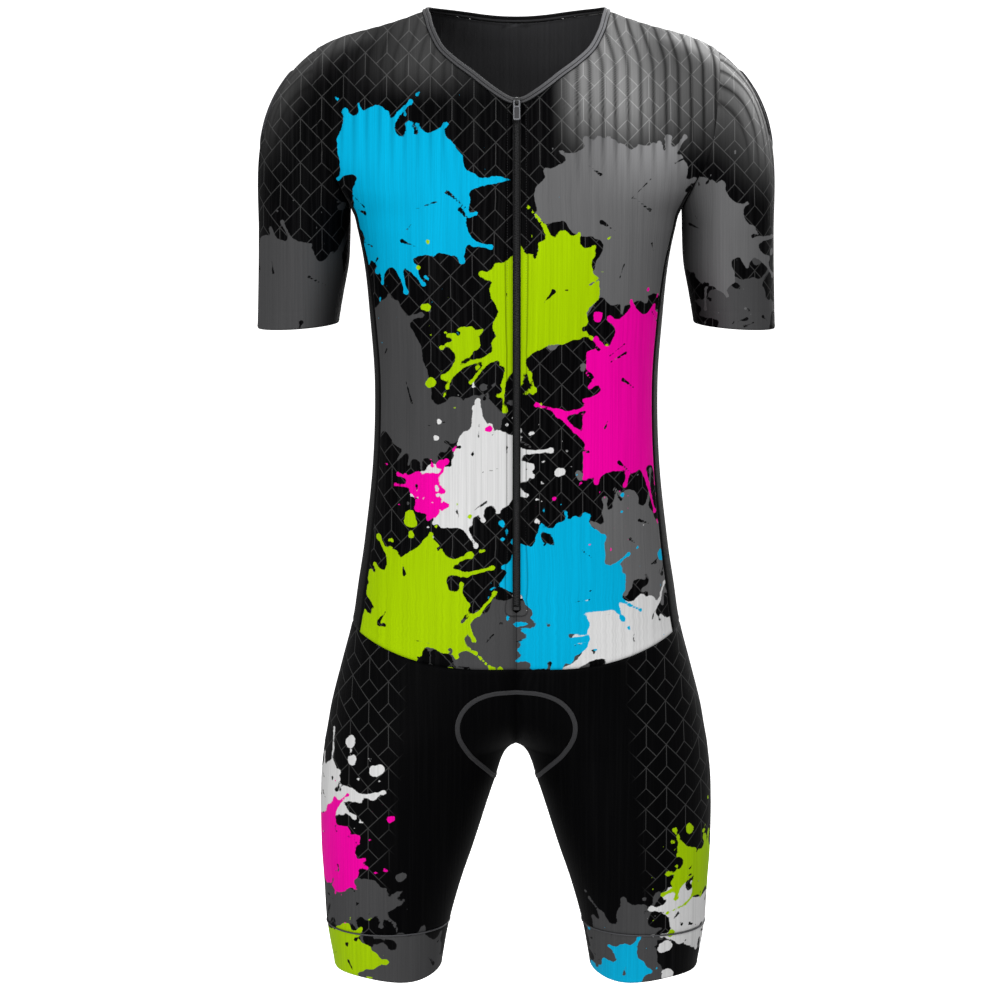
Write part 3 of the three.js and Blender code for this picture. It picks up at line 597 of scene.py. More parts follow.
zipStitch = dict(away=8.7, top=-90, foot=-565, corner=4.5, pitch=2.4, length=1.9, radius=0.16, lift=-0.05)


def zipGroove(add, across, up):
    # The stitched line that runs down both sides of the zip and round its foot
    corner = zipStitch["corner"]
    wide = add("Math SUBTRACT", add("Math ABSOLUTE", across), zipStitch["away"] - corner)
    low = add("Math SUBTRACT", zipStitch["foot"] + corner, up)
    wideOut, lowOut = (add("Math MAXIMUM", x, 0.0) for x in (wide, low))
    radius = add("Math SQRT", add("Math MULTIPLY_ADD", wideOut, wideOut, add("Math MULTIPLY", lowOut, lowOut)))
    inner = add("Math MINIMUM", add("Math MAXIMUM", wide, low), 0.0)
    away = add("Math ABSOLUTE", add("Math SUBTRACT", add("Math ADD", radius, inner), corner))
    return add("MapRange", away, 0.25, 0.95, 1.0, 0.0, interpolation_type="SMOOTHSTEP")


def printedKnit(name, streaks="#131314", roughness=0.62, sheen=0.008, shine=0.03, zipLine=False):
    # Polyester and elastane warp knit, dyed by sublimation: flat saturated inks, a faint satin streak on the ribs,
    # and painted highlights and painted shade on the shoulders, chest and arms
    material, add, shader = newMaterial(name, Roughness=roughness, IOR=1.5, Specular_IOR_Level=shine,
                                        Sheen_Weight=sheen, Sheen_Roughness=0.35)
    reads = {key: add("Attribute", attribute_name=key).outputs["Fac"]
             for key in ["across", "up", "haze", "net", "flute", "satin", *paints]}
    across, up, haze = reads["across"], reads["up"], reads["haze"]
    # pale yarn grins through the black in long streaks where the ribs are stretched open
    grin = add("TexNoise", {"Vector": add("CombineXYZ", across, add("Math MULTIPLY", up, 0.02)), "Scale": 0.3,
                            "Detail": 2.0, "Roughness": 0.7})
    grin = add("MapRange", grin, 0.45, 0.75, 0.0, 1.0)
    # the net's lines are painted lighter where the painted shoulder highlight lies
    lit = add("Math MULTIPLY_ADD", haze, cube["onPaintedLight"], cube["onBlack"])
    net = add("Math MULTIPLY", cubeLattice(add, across, up), reads["net"])
    # paint edges are a little rough from the yarn
    rough = add("TexNoise", {"Vector": add("CombineXYZ", across, up), "Scale": 0.2, "Detail": 3.0,
                             "Roughness": 0.6})
    shift = add("Math MULTIPLY", add("Math SUBTRACT", rough, 0.5), 2.6)
    # the painted shoulder highlight lays grey over the black ground
    layers = [(grin, linear(streaks)), (haze, linear("#8b8b8b")), (net, add("CombineColor", lit, lit, lit))]
    for paint, colour in paints.items():
        cover = add("MapRange", add("Math ADD", reads[paint], shift), -0.25, 0.25, 1.0, 0.0)
        layers.append((cover, linear(colour)))
    base = linear("#020203")
    for cover, colour in layers:
        base = add("Mix", {0: cover, 6: base, 7: colour}, **blend).outputs[2]
    # painted shade darkens the colour in the flutes and inside the arm; the painted highlight read as satin
    # lightens it on the chest and cap
    tone = add("Math MULTIPLY", add("Math MULTIPLY_ADD", reads["flute"], -flutes["shade"], 1.0),
               add("Math ADD", reads["satin"], 1.0))
    groove = zipGroove(add, across, up) if zipLine else None
    # painted shade: the cloth is darkened in the groove along the stitched line
    if groove:
        tone = add("Math MULTIPLY", tone, add("Math MULTIPLY_ADD", groove, -0.4, 1.0))
    base = add("Mix", {0: 1.0, 6: base, 7: tone}, **tint).outputs[2]
    knit(add, shader, base, across, up, 1.6, 0.5, groove)
    return material


def plainKnit(name, colour, roughness, sheen, ribPitch=1.4, ribDepth=0.45):
    # Dyed nylon and elastane, denser than the printed cloth, with a soft bloom at grazing angles
    material, add, shader = newMaterial(name, Roughness=roughness, IOR=1.5, Specular_IOR_Level=0.08,
                                        Sheen_Weight=sheen, Sheen_Roughness=0.4)
    across, up = (add("Attribute", attribute_name=key).outputs["Fac"] for key in ("across", "up"))
    knit(add, shader, linear(colour), across, up, ribPitch, ribDepth)
    return material


def elastic(name, colour, roughness, ribs, depth, creases=(), pale=1.0):
    # Folded elastic tape: lengthwise cords, painted lighter where they stand up and darker between them as painted
    # light and shade. Creases are the places across the tape, in mm, where it is drawn dark; pale lightens the
    # wearer's left side as painted light.
    material, add, shader = newMaterial(name, Roughness=roughness, IOR=1.5, Specular_IOR_Level=0.25,
                                        Sheen_Weight=0.05, Sheen_Roughness=0.4)
    across, up = (add("Attribute", attribute_name=key).outputs["Fac"] for key in ("across", "up"))
    cords, picks = (add("TexWave", {"Vector": add("CombineXYZ", across, up), "Scale": 0.314 / spacing,
                                    "Distortion": wobble}, wave_type="BANDS", bands_direction=way)
                    for spacing, wobble, way in ((ribs, 0.3, "X"), (0.7, 0.6, "Y")))
    height = add("Math MULTIPLY_ADD", picks, 0.4, cords)
    # painted light and shade: the colour follows the height of the cords
    tone = add("MapRange", height, 0.0, 1.4, 0.8, 1.1)
    for middle, half in creases:
        away = add("Math ABSOLUTE", add("Math SUBTRACT", across, middle))
        tone = add("Math MULTIPLY", tone, add("MapRange", away, half - 0.2, half + 0.2, 0.12, 1.0))
    # painted light: the tape is painted lighter on the wearer's left side, where the light falls
    if pale != 1.0:
        spot = add("SeparateXYZ", add("TexCoord").outputs["Object"])
        tone = add("Math MULTIPLY", tone, add("MapRange", spot, 0.01, 0.07, 1.0, pale))
    mixed = add("Mix", {0: 1.0, 6: linear(colour), 7: tone}, **tint)
    feed(shader, {"Base Color": mixed.outputs[2],
                  "Normal": add("Bump", {"Strength": depth, "Distance": 0.0004, "Height": height})})
    return material


def solid(name, colour, roughness, metallic=0.0, grain=0.35, scale=900.0, **more):
    # Small hard parts: one colour broken by faint handling marks
    material, add, shader = newMaterial(name, Metallic=metallic, **more)
    marks = add("TexNoise", {"Vector": add("TexCoord").outputs["Object"], "Scale": scale, "Detail": 3.0})
    mixed = add("Mix", {0: 1.0, 6: linear(colour), 7: add("MapRange", marks, 0.3, 0.7, 0.82, 1.12)}, **tint)
    feed(shader, {"Base Color": mixed.outputs[2],
                  "Roughness": add("MapRange", marks, 0.3, 0.7, roughness - 0.06, roughness + 0.08),
                  "Normal": add("Bump", {"Strength": grain, "Distance": 0.0001, "Height": marks})})
    return material


frontKnit = printedKnit("printed warp knit, front", zipLine=True)
backKnit = printedKnit("printed warp knit, back")
sleeveKnit = printedKnit("printed warp knit, sleeves")
shortsKnit = printedKnit("printed compression knit, shorts", streaks="#070708", sheen=0.01, shine=0.04)
gripperKnit = printedKnit("printed elastic band", streaks="#101011", roughness=0.58, shine=0.06)
sideKnit = plainKnit("black power mesh, side panels", "#040405", 0.7, 0.04)
# the wrong side's grey is partly its own colour and partly painted shade, darkened for the shade inside the suit
knitInside = plainKnit("knit wrong side, dark grey", "#474749", 0.8, 0.04, ribPitch=2.6, ribDepth=0.6)
shortsInside = plainKnit("knit wrong side, black", "#161618", 0.8, 0.05)
# the binding's cords carry painted light and shade, and its left side is painted lighter
bindingElastic = elastic("folded elastic, satin grey", "#4b4b4d", 0.5, 1.6, 0.5, ((1.0, 0.9), (4.7, 0.45)), 3.0)
bindingInside = elastic("folded elastic, black inside", "#040405", 0.7, 1.6, 0.4)
bindingStitch = elastic("folded elastic, stitched edge", "#4a4a4c", 0.7, 1.6, 0.4)
padTape = elastic("overlock thread, grey", "#39393b", 0.6, 1.1, 0.7)
tapeWeave = elastic("woven polyester zip tape", "#0a0a0b", 0.65, 0.9, 0.5)
toothNylon = solid("moulded acetal teeth", "#161618", 0.45, grain=0.15, IOR=1.48)
sliderLacquer = solid("black lacquered zinc", "#19191b", 0.32, grain=0.1, Coat_Weight=0.5)
pullLacquer = solid("satin gunmetal lacquer on zinc", "#77787c", 0.4, metallic=0.5, grain=0.12)
recessLacquer = solid("dark lacquer in the recess", "#3a3a3d", 0.5, metallic=0.3, grain=0.12)
threadDark = solid("polyester thread, dark", "#242426", 0.6, grain=0.6, scale=2600.0)
pipingCord = solid("piping cord, satin grey", "#47474a", 0.55, grain=0.5, scale=1800.0)
print("materials made")


def outerEdge(row, isBack):
    seam = sideAngle(body["waistSide"])
    bottom = waistZ(180 - seam if isBack else seam)
    top = armhole(arm["sideTurn"])
    z = lerp(bottom, top[0], row / cloth["sideRows"])
    holeZ, holeAngle = armhole(arm["sideTurn"] - arm["rowTurn"] * (row - cloth["sideRows"]))
    onSide = row <= cloth["sideRows"]
    seamAngle = lerp(sideAngle(z), top[1], smooth(row, cloth["sideRows"] - 0.6, cloth["sideRows"]))
    return np.where(onSide, z, holeZ), np.where(onSide, seamAngle, holeAngle)


def innerEdge(row, isBack):
    neckRows = cloth["neckRowsBack" if isBack else "neckRowsFront"]
    pit = body["neckBack" if isBack else "neckPit"]
    lastMiddle = cloth["sideRows"] + arm["rows"] - neckRows
    blade = body["bladeBack" if isBack else "bladeFront"]
    waist = body["waistBack" if isBack else "waistFront"]
    z = np.where(row <= cloth["sideRows"], lerp(waist, blade, row / cloth["sideRows"]),
                 lerp(blade, pit, (row - cloth["sideRows"]) / (lastMiddle - cloth["sideRows"])))
    neck = curveThrough(neckBack if isBack else neckFront, np.clip((row - lastMiddle) / neckRows, 0, 1))
    onNeck = row > lastMiddle
    x = np.where(onNeck, neck[:, 0], 0)
    z = np.where(onNeck, neck[:, 1], z)
    if not isBack:  # the slot for the zip
        x = np.maximum(x, np.where(z > body["zipEnd"], cloth["zipHalf"], 0.15))
    return z, angleAt(z, x), x


def torsoGrid(isBack):
    row, share = gridShares("back" if isBack else "front")
    innerZ, innerAngle, innerX = innerEdge(row, isBack)
    outerZ, outerAngle = outerEdge(row, isBack)
    angle = lerp(innerAngle[:, None], outerAngle[:, None], share)
    z = lerp(innerZ[:, None], outerZ[:, None], share)
    turned = 180 - angle if isBack else angle
    straight = lerp(innerZ[0], outerZ[0], share)
    z = z + (waistZ(turned) - straight) * (1 - smooth(row, 0, 3))[:, None]
    p = bodyPoint(z, turned)
    if isBack:
        p[:, 0, 0] = np.where(innerX == 0, 0, p[:, 0, 0])
    else:
        p[:, 0, 0] = innerX
    return p, bodyNormal(p), angle


# Painted highlight on the shoulders, where the light falls: where each part begins and ends in mm across or up,
# and its strength.
# "foot" is the level where the left side's painted highlight ends, and it lies lower towards the sleeve.
haze = dict(start=(30, 62), bone=(98, 144), boneDark=0.6, rim=0.85, foot=-150, footDrop=40, footOutward=(170, 230),
            top=-60, right=0.22, rightAt=(-88, 42), rightFade=(-92, -50), rightRim=0.3, rightRimFade=(-165, -60),
            behind=(62, 6))
# Where the painted highlight lies on the chest, and the outline of the cap seen from the front, along which the
# painted rim highlight runs
paintedGleamSpot = dict(across=(122, 48), up=(-122, 42), rim=0.9, rimFade=(-175, -95))
capEdge = dict(down=[30, 45, 55, 72, 89, 106, 123, 300], out=[160, 190, 205, 222, 231, 238, 242, 244], fade=21)
netEnd = dict(facingUp=(0.45, 0.8), behind=(6, 18), thigh=[(616, 700, 881), (108, 114, 132)], soft=9)


def paintShoulderLight(u, v, y):
    # Painted highlight: the black ground is painted over to grey on the left shoulder and, faintly, beside the
    # neck on the right.
    # It is painted darkest over the shoulder bone and lightest by the neck and on the outer edge of the cap, as
    # the light falls.
    bone = 1 - haze["boneDark"] * smooth(u, *haze["bone"])
    left = smooth(u, *haze["start"]) * bone + haze["rim"] * capRim(u, v)
    left = left * smooth(v, haze["foot"] - haze["footDrop"] * smooth(u, *haze["footOutward"]), haze["top"])
    right = haze["right"] * hump(u, *haze["rightAt"]) * smooth(v, *haze["rightFade"])
    right = right + haze["rightRim"] * capRim(-u, v) * smooth(v, *haze["rightRimFade"])
    return np.clip((left + right) * smooth(y, *haze["behind"]), 0, 1)


def capRim(u, v):
    # Mask of the painted rim highlight: 1 on the outer edge of the shoulder, as seen from the front, and nothing
    # 40 mm inside it
    edge = np.interp(-v, capEdge["down"], capEdge["out"])
    return hump(np.maximum(edge - u, 0), 0, capEdge["fade"])


def satin(u, v):
    # Painted highlight: the colour is lightened on the left of the chest and along the cap
    chest = hump(u, *paintedGleamSpot["across"]) * hump(v, *paintedGleamSpot["up"])
    return chest + paintedGleamSpot["rim"] * capRim(u, v) * smooth(v, *paintedGleamSpot["rimFade"])


def netOverTop(p, n):
    # The net stops behind the shoulder seam, where the cloth lies flat on top
    return 1 - smooth(n[..., 2], *netEnd["facingUp"]) * smooth(p[..., 1], *netEnd["behind"])


def shortsNet(u, v):
    # The lattice is on the outer thigh only
    edge = np.interp(-v, *netEnd["thigh"])
    return smooth(np.abs(u), edge - netEnd["soft"], edge + netEnd["soft"])


def marksOf(u, v, pools, **more):
    # All that the printed cloth's material reads at each point
    marks = {key: np.broadcast_to(more.get(key, 0.0), u.shape) for key in ("haze", "net", "satin", "flute")}
    return {"across": u, "up": v, **marks, **paintEdges(u, v, pools)}


def place(piece, node, onBody="suit"):
    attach(piece, onBody)
    if node:
        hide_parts(node)


# Front
p, n, angle = torsoGrid(False)
dip = relief(edgeDistance(p, ("top", "bottom", "right", "left")), seamRelief)
for side, mirror in sides:
    flute = fluteDepth(p[..., 0], p[..., 2]) * (1 if mirror > 0 else flutes["rightSide"])
    u, v = mirror * printAcross(p[..., 2], angle, p[..., 0]), p[..., 2]
    marks = marksOf(u, v, frontPools, haze=paintShoulderLight(u, v, p[..., 1]), net=1.0, satin=satin(u, v), flute=flute)
    place(shell(f"front_{side}_cloth", p + n * (dip - flutes["depth"] * flute)[..., None], n, marks,
                [frontKnit, knitInside], mirror=mirror), f"front_{side}")
print("front panels made")

# Back, both halves in one grid
half, halfNormal, halfAngle = torsoGrid(True)
flip = np.array([-1, 1, 1])
p, n, angle = (np.concatenate([a[:, ::-1] * f, a], 1)
               for a, f in ((half, flip), (halfNormal, flip), (halfAngle, 1)))
sign = np.repeat([-1, 1], half.shape[1])
u, v = -sign * printAcross(p[..., 2], angle, np.abs(p[..., 0])), p[..., 2]
flute = fluteDepth(np.abs(p[..., 0]), v)
marks = marksOf(u, v, backPools, haze=paintShoulderLight(-u, v, p[..., 1]), net=netOverTop(p, n), flute=flute)
atNeck = half[:, 0, 0] > 0
near = edgeDistance(half, ("top", "bottom", "right"))
near = np.where(atNeck[:, None], np.minimum(near, edgeDistance(half, ("left",))), near)
dip = relief(np.concatenate([near[:, ::-1], near], 1), seamRelief)
place(shell("back_cloth", p + n * (dip - flutes["depth"] * flute)[..., None], n, marks,
            [backKnit, knitInside], parted=atNeck), "back")
print("back made")

# Side panels
row, share = gridShares("side")
isBack = share > 0.5
fromSeam = np.where(isBack, 2 - 2 * share, 2 * share)
frontZ, frontAngle = outerEdge(row, False)
backZ, backAngle = outerEdge(row, True)
seamZ = np.where(isBack, backZ[:, None], frontZ[:, None])
angle = lerp(np.where(isBack, backAngle[:, None], frontAngle[:, None]), 90.0, fromSeam)
turned = np.where(isBack, 180 - angle, angle)
waist = waistZ(turned) - np.where(isBack, backZ[0], frontZ[0])
topZ, topAngle = armhole(lerp(arm["sideTurn"], 180.0, fromSeam))
up = (row / cloth["sideRows"])[:, None]
z = seamZ + lerp(waist, topZ - armhole(arm["sideTurn"])[0], up)
bent = lerp(angle, topAngle, smooth(up, 0.93, 1))
p = bodyPoint(z, np.where(isBack, 180 - bent, bent))
n = bodyNormal(p)
dip = relief(edgeDistance(p, ("top", "bottom", "left", "right")), seamRelief)
for side, mirror in sides:
    place(shell(f"side_{side}_mesh", p + n * dip[..., None], n, dict(across=p[..., 1], up=p[..., 2]),
                [sideKnit, knitInside], mirror=mirror), f"side_panel_{side}")


# Sleeves: steps down the cap, down the rings and round; how strongly the cloth leaves the armhole, at the
# underarm and more on top, and meets the first ring; relief at the seam and the hem; flutes over the cap; painted
# shade inside the arm
sleeve = dict(capRows=72, ringRows=50, roundSteps=176, leave=1.1, leaveOnTop=0.28, arrive=0.8,
              seam=[(-0.75, 0, 1.6)], hem=[(-0.3, 0, 1.0), (0.3, 1.9, 1.1), (-0.28, 16, 0.8)],
              fluteCount=26, fluteSpacing=5.9, fluteWidth=1.9, fluteDepth=0.35, innerShade=0.9)


def sleeveRing(z, around):
    _, cx, cy, wide, deep, drop = readTable(sleeveRings, z)
    c, s = np.cos(np.radians(around)), np.sin(np.radians(around))
    return np.stack([cx + wide * c, cy - deep * s, z - drop * c], -1)


def armholePoint(around):
    around = np.asarray(around, float) % 360
    behind = around > 180
    z, angle = armhole(np.where(behind, 360 - around, around))
    return bodyPoint(z, np.where(behind, 180 - angle, angle))


def sleeveGrid():
    roundSteps = steps(sleeve["roundSteps"])
    around = np.arange(roundSteps) * 360 / roundSteps
    start = armholePoint(around)
    along = unit(armholePoint(around + 1) - armholePoint(around - 1))
    startNormal = bodyNormal(start)
    outward = unit(np.cross(startNormal, along))
    first = sleeveRing(sleeveRings[0, 0], around)
    turn = np.where(around > 180, 360 - around, around)
    leaving = unit(lerp(outward, unit(first - start), smooth(turn, 55, 140)[:, None]))
    reach = np.linalg.norm(first - start, axis=1)[:, None]
    full = sleeve["leave"] + sleeve["leaveOnTop"] * (1 - smooth(turn, 0, 90))[:, None]
    arriving = reach * sleeve["arrive"] * np.array([0, 0, -1.0])
    rows = []
    for t in np.linspace(0, 1, steps(sleeve["capRows"]) + 1)[:-1] ** 1.25:
        rows.append((2 * t**3 - 3 * t**2 + 1) * start + (t**3 - 2 * t**2 + t) * reach * full * leaving
                    + (3 * t**2 - 2 * t**3) * first + (t**3 - t**2) * arriving)
    for z in np.linspace(sleeveRings[0, 0], sleeveRings[-1, 0], steps(sleeve["ringRows"]) + 1):
        rows.append(sleeveRing(z, around))
    p = np.array(rows)
    n = unit(np.cross(np.roll(p, -1, 1) - np.roll(p, 1, 1), np.gradient(p, axis=0)))
    n[0] = unit(lerp(startNormal, n[0], smooth(turn, 60, 140)[:, None]))
    return around, p, n


around, p, n = sleeveGrid()
seamRun, hemRun = edgeRun(p, 0)
dip = relief(hemRun, sleeve["hem"], relief(seamRun, sleeve["seam"]))
step = np.linalg.norm(np.diff(p, axis=1, append=p[:, :1]), axis=-1)
arcRound = np.concatenate([np.zeros((len(p), 1)), np.cumsum(step, axis=1)[:, :-1]], 1)
quarter = len(around) // 4
x, centreX = p[..., 0], p[:, [quarter], 0]
fromFront = arcRound[:, [quarter]] - arcRound
edgeX = np.interp(-p[..., 2], -p[:, 0, 2], p[:, 0, 0])  # outline of the sleeve at the same height
ringShare = 0.4 * smooth(np.arange(len(p)) / len(p), 0.15, 0.62)[:, None]
u = np.where(around[None, :] <= 180, lerp(x, centreX + fromFront, ringShare),
             lerp(edgeX, centreX + fromFront[:, [0]], ringShare) + 1.12 * (edgeX - x))
spacing, armSide = sleeve["fluteSpacing"], np.cos(np.radians(around))
fluteTurn = np.abs((around / (360 / sleeve["fluteCount"])) % 1 - 0.5) * 2 * spacing
fluteRound = hump(spacing, fluteTurn, sleeve["fluteWidth"]) * smooth(p[..., 2], -185, -95)
fluteRound = fluteRound * smooth(armSide, 0.1, 0.45)
paintedInnerArmShade = sleeve["innerShade"] * smooth(-armSide, 0.1, 1.0)  # painted shade on the inside of the arm, beside the body
for side, mirror in sides:
    flute = fluteRound * (1 if mirror > 0 else flutes["rightSide"])
    sideways, v = mirror * p[..., 0], p[..., 2]
    # the flute attribute carries the painted shade of the flutes and of the inside of the arm
    marks = marksOf(mirror * u, v, sleevePools[mirror], haze=paintShoulderLight(sideways, v, p[..., 1]),
                    net=netOverTop(p, n), satin=satin(sideways, v), flute=flute + paintedInnerArmShade)
    place(shell(f"sleeve_{side}_cloth", p + n * (dip - sleeve["fluteDepth"] * flute)[..., None], n, marks,
                [sleeveKnit, knitInside], closed=True, mirror=mirror), f"sleeve_{side}")
print("side panels and sleeves made")

# Shorts
legLevels = [body["waistFront"], -636, -655, -672, -686, -698, body["crotch"], -716, -728, -746, -770, -798, -826,
             -854, body["gripperTop"]]
outerThigh = 120.0  # the print of the legs is measured from here, in mm from the middle


def legGrid(isBack):
    row, share = gridShares("legBack" if isBack else "legFront")
    level = np.interp(row, np.arange(len(legLevels)), legLevels)
    waist = body["waistBack" if isBack else "waistFront"]
    topAngle = lerp(angleAt(waist, 0.0), 90.0, share)
    rise = waistZ(180 - topAngle if isBack else topAngle) - body["waistFront"]
    z = level[:, None] + rise * (1 - np.clip(row / 5, 0, 1))[:, None]
    angle = lerp(topAngle, lerp(angleAt(z, 0 * z), 90.0, share), smooth(row, 0, 2)[:, None])
    p = bodyPoint(z, 180 - angle if isBack else angle)
    p[level > body["crotch"], 0, 0] = 0
    return p, bodyNormal(p), angle


for where, isBack in (("front", False), ("back", True)):
    p, n, angle = legGrid(isBack)
    dip = relief(edgeDistance(p, ("top", "left", "right", "bottom")), seamRelief)
    u = flat = printAcross(p[..., 2], angle, p[..., 0], outerThigh)
    if isBack:  # carries on round the outer side from the front
        u = 2 * printAcross(p[..., 2], 90.0, p[:, [-1], 0], outerThigh) - u
    for side, mirror in sides:
        marks = marksOf(mirror * u, p[..., 2], legPools[mirror], net=shortsNet(flat, p[..., 2]))
        place(shell(f"shorts_{where}_{side}_cloth", p + n * dip[..., None], n, marks,
                    [shortsKnit, shortsInside], mirror=mirror), f"shorts_{where}_{side}")
print("shorts made")

# Leg grippers and the piping over their seams: relief at the seam and the hem, radius of the cord
gripper = dict(seam=[(-0.7, 0, 1.4)], hem=[(-0.3, 0, 0.9), (0.25, 2.0, 1.2)], cord=0.75)
turn = -90 + np.arange(steps(180)) * 360 / steps(180)
hem = body["legHem"] - body["hemDip"] * np.maximum(0, np.cos(np.radians(turn - body["hemDipAngle"]))) ** 4
p = bodyPoint(lerp(body["gripperTop"], hem[None, :], np.linspace(0, 1, steps(30) + 1)[:, None]), turn[None, :])
n = bodyNormal(p)
seamRun, hemRun = edgeRun(p, 0)
dip = relief(hemRun, gripper["hem"], relief(seamRun, gripper["seam"]))
front = (turn > -90) & (turn <= 90)
angle = np.where(front, turn, 180 - turn)[None, :] + 0 * p[..., 0]
u = printAcross(p[..., 2], angle, p[..., 0], outerThigh)
outer = printAcross(p[..., 2], 90.0, p[..., 0].max(1, keepdims=True), outerThigh)
u = np.where(front[None, :], u, 2 * outer - u)
for side, mirror in sides:
    marks = marksOf(mirror * u, p[..., 2], legPools[mirror])
    place(shell(f"gripper_{side}_band", p + n * dip[..., None], n, marks, [gripperKnit, shortsInside],
                closed=True, mirror=mirror), f"leg_gripper_{side}")


def tube(name, path, profile, normal, sideways, material, closed=False, mirror=1):
    # Sweeps a closed profile (across, out) along a path; ends are capped
    profile = np.asarray(profile, float)
    ring = (path[:, None] + sideways[:, None] * profile[None, :, 0, None]
            + normal[:, None] * profile[None, :, 1, None])
    rows, columns = ring.shape[:2]
    marks = dict(across=np.tile(runAlong(profile), rows), up=np.repeat(runAlong(path), columns))
    faces = gridFaces(rows, columns, True, closed)
    if looksInward(ring, ring[0, 0] - ring[0].mean(0)):
        faces = faces[:, ::-1]
    piece = makeMesh(name, ring.reshape(-1, 3), faces, [material], marks, mirror=mirror)
    return piece if closed else turnOutward(piece, fillEnds=True)


def frameAlong(path, normal, closed=False):
    ahead = np.roll(path, -1, 0) if closed else np.vstack([path[1:], 2 * path[-1:] - path[-2:-1]])
    behind = np.roll(path, 1, 0) if closed else np.vstack([2 * path[:1] - path[1:2], path[:-1]])
    return unit(np.cross(unit(ahead - behind), normal))


turn = -90 + np.arange(120) * 3.0
ring = bodyPoint(body["gripperTop"], turn)
ringNormal = bodyNormal(ring)
ringSide = frameAlong(ring, ringNormal, True)
t = np.arange(8) * math.pi / 4
profile = np.stack([gripper["cord"] * np.cos(t), 0.1 + gripper["cord"] * np.sin(t)], 1)
for side, mirror in sides:
    place(tube(f"gripper_{side}_piping", ring, profile, ringNormal, ringSide, pipingCord, closed=True,
               mirror=mirror), None)

# Neck binding: folded elastic with two stitched cords, open at the zip
binding = dict(width=6.5, gap=0.36, count=150, smoothing=30)
share = np.linspace(0, 1, binding["count"])
frontEdge = curveThrough(neckFront, share)
backEdge = curveThrough(neckBack, share[::-1])
keep = frontEdge[:, 0] > cloth["zipHalf"] + 0.15
frontAngles = angleAt(frontEdge[:, 1], frontEdge[:, 0])[keep]
backAngles = 180 - angleAt(backEdge[:, 1], backEdge[:, 0])
z = np.concatenate([frontEdge[keep, 1], backEdge[1:, 1]])
half = bodyPoint(z, np.concatenate([frontAngles, backAngles[1:]]))
half[-1, 0] = 0
path = np.vstack([half, half[-2::-1] * flip])
normal = bodyNormal(path)
side = frameAlong(path, normal)
# smooth the frame over the corner at the shoulder
for k in range(binding["smoothing"]):
    side[1:-1] = unit(side[:-2] + 2 * side[1:-1] + side[2:])
    normal[1:-1] = unit(normal[:-2] + 2 * normal[1:-1] + normal[2:])
w = binding["width"]
profile = [(0, -1.5), (0, 0.0), (0.5, 0.45), (1.4, 0.72), (2.3, 0.5), (2.9, 0.15), (3.5, 0.5), (4.6, 0.75),
           (5.8, 0.5), (w - 0.15, -0.1), (w, -0.7), (w - 0.4, -1.3), (w - 1.6, -1.6), (3.2, -1.65),
           (1.2, -1.6)]
profile = [(-binding["gap"] - across, out) for across, out in profile]
piece = tube("neck_binding_elastic", path, profile, normal, side, bindingElastic)
for material in (bindingInside, bindingStitch):
    piece.data.materials.append(material)
# the inner half of the fold is black, with its stitched edge
segment = np.arange(len(piece.data.polygons)) % len(profile)
part = np.where(segment == len(profile) - 2, 2, np.where(segment >= 9, 1, 0))
part[(len(path) - 1) * len(profile):] = 1
piece.data.polygons.foreach_set("material_index", part.astype(np.int32))
place(piece, "neck_binding")

# Seat pad seam
share = np.linspace(0, 1, 15)
front, back = curveThrough(padFront, share), curveThrough(padBack, share)
rows = [*zip(front[:, 1], angleAt(front[:, 1], front[:, 0])), *padInner,
        *zip(back[:, 1], -180 - angleAt(back[:, 1], back[:, 0]))]
rows = curveThrough(rows, np.linspace(0, 1, 260))
half = bodyPoint(rows[:, 0], rows[:, 1])
half[[0, -1], 0] = 0
path = np.vstack([half, half[-2:0:-1] * flip])
normal = bodyNormal(path)
side = frameAlong(path, normal, True)
profile = [(-2.3, 0.1), (-2.0, 0.7), (-1.2, 1.05), (-0.5, 0.8), (0.0, 0.7), (0.5, 0.8), (1.2, 1.05), (2.0, 0.7),
           (2.3, 0.1), (0.0, -0.2)]
place(tube("pad_seam_overlock", path, profile, normal, side, padTape, closed=True), "pad_seam")
print("binding, piping and pad seam made")


# Zip. Levels of its parts, and how the pull hangs.
zipParts = dict(tapeTop=-86.2, tapeFoot=-559.5, teethTop=-95.6, teethFoot=-554.6, slider=-89.0, stop=-557.4,
                pullLean=4.0, pullLength=21.0, pivotOut=3.9)


def middleLine(topZ, bottomZ, count):
    z = np.linspace(topZ, bottomZ, count)
    path = bodyPoint(z, angleAt(z, 0 * z))
    path[:, 0] = 0
    return path, bodyNormal(path)


path, normal = middleLine(zipParts["tapeTop"], zipParts["tapeFoot"], 240)
profile = [(-3.45, -1.3), (-3.45, -0.35), (-3.1, -0.2), (-2.8, -0.3), (-2.6, -0.1), (-2.4, -0.3), (2.4, -0.3),
           (2.6, -0.1), (2.8, -0.3), (3.1, -0.2), (3.45, -0.35), (3.45, -1.3), (0, -1.4)]
place(tube("zip_tape_woven", path, profile, normal, np.tile([1.0, 0, 0], (len(path), 1)), tapeWeave),
      "zip_tape")

tooth = dict(pitch=1.5, long=1.1, wide=2.5, high=1.3, offset=0.9)
path, normal = middleLine(zipParts["teethTop"], zipParts["teethFoot"], 900)
run = runAlong(path)
toothCount = int(run[-1] / (tooth["pitch"] / 2))
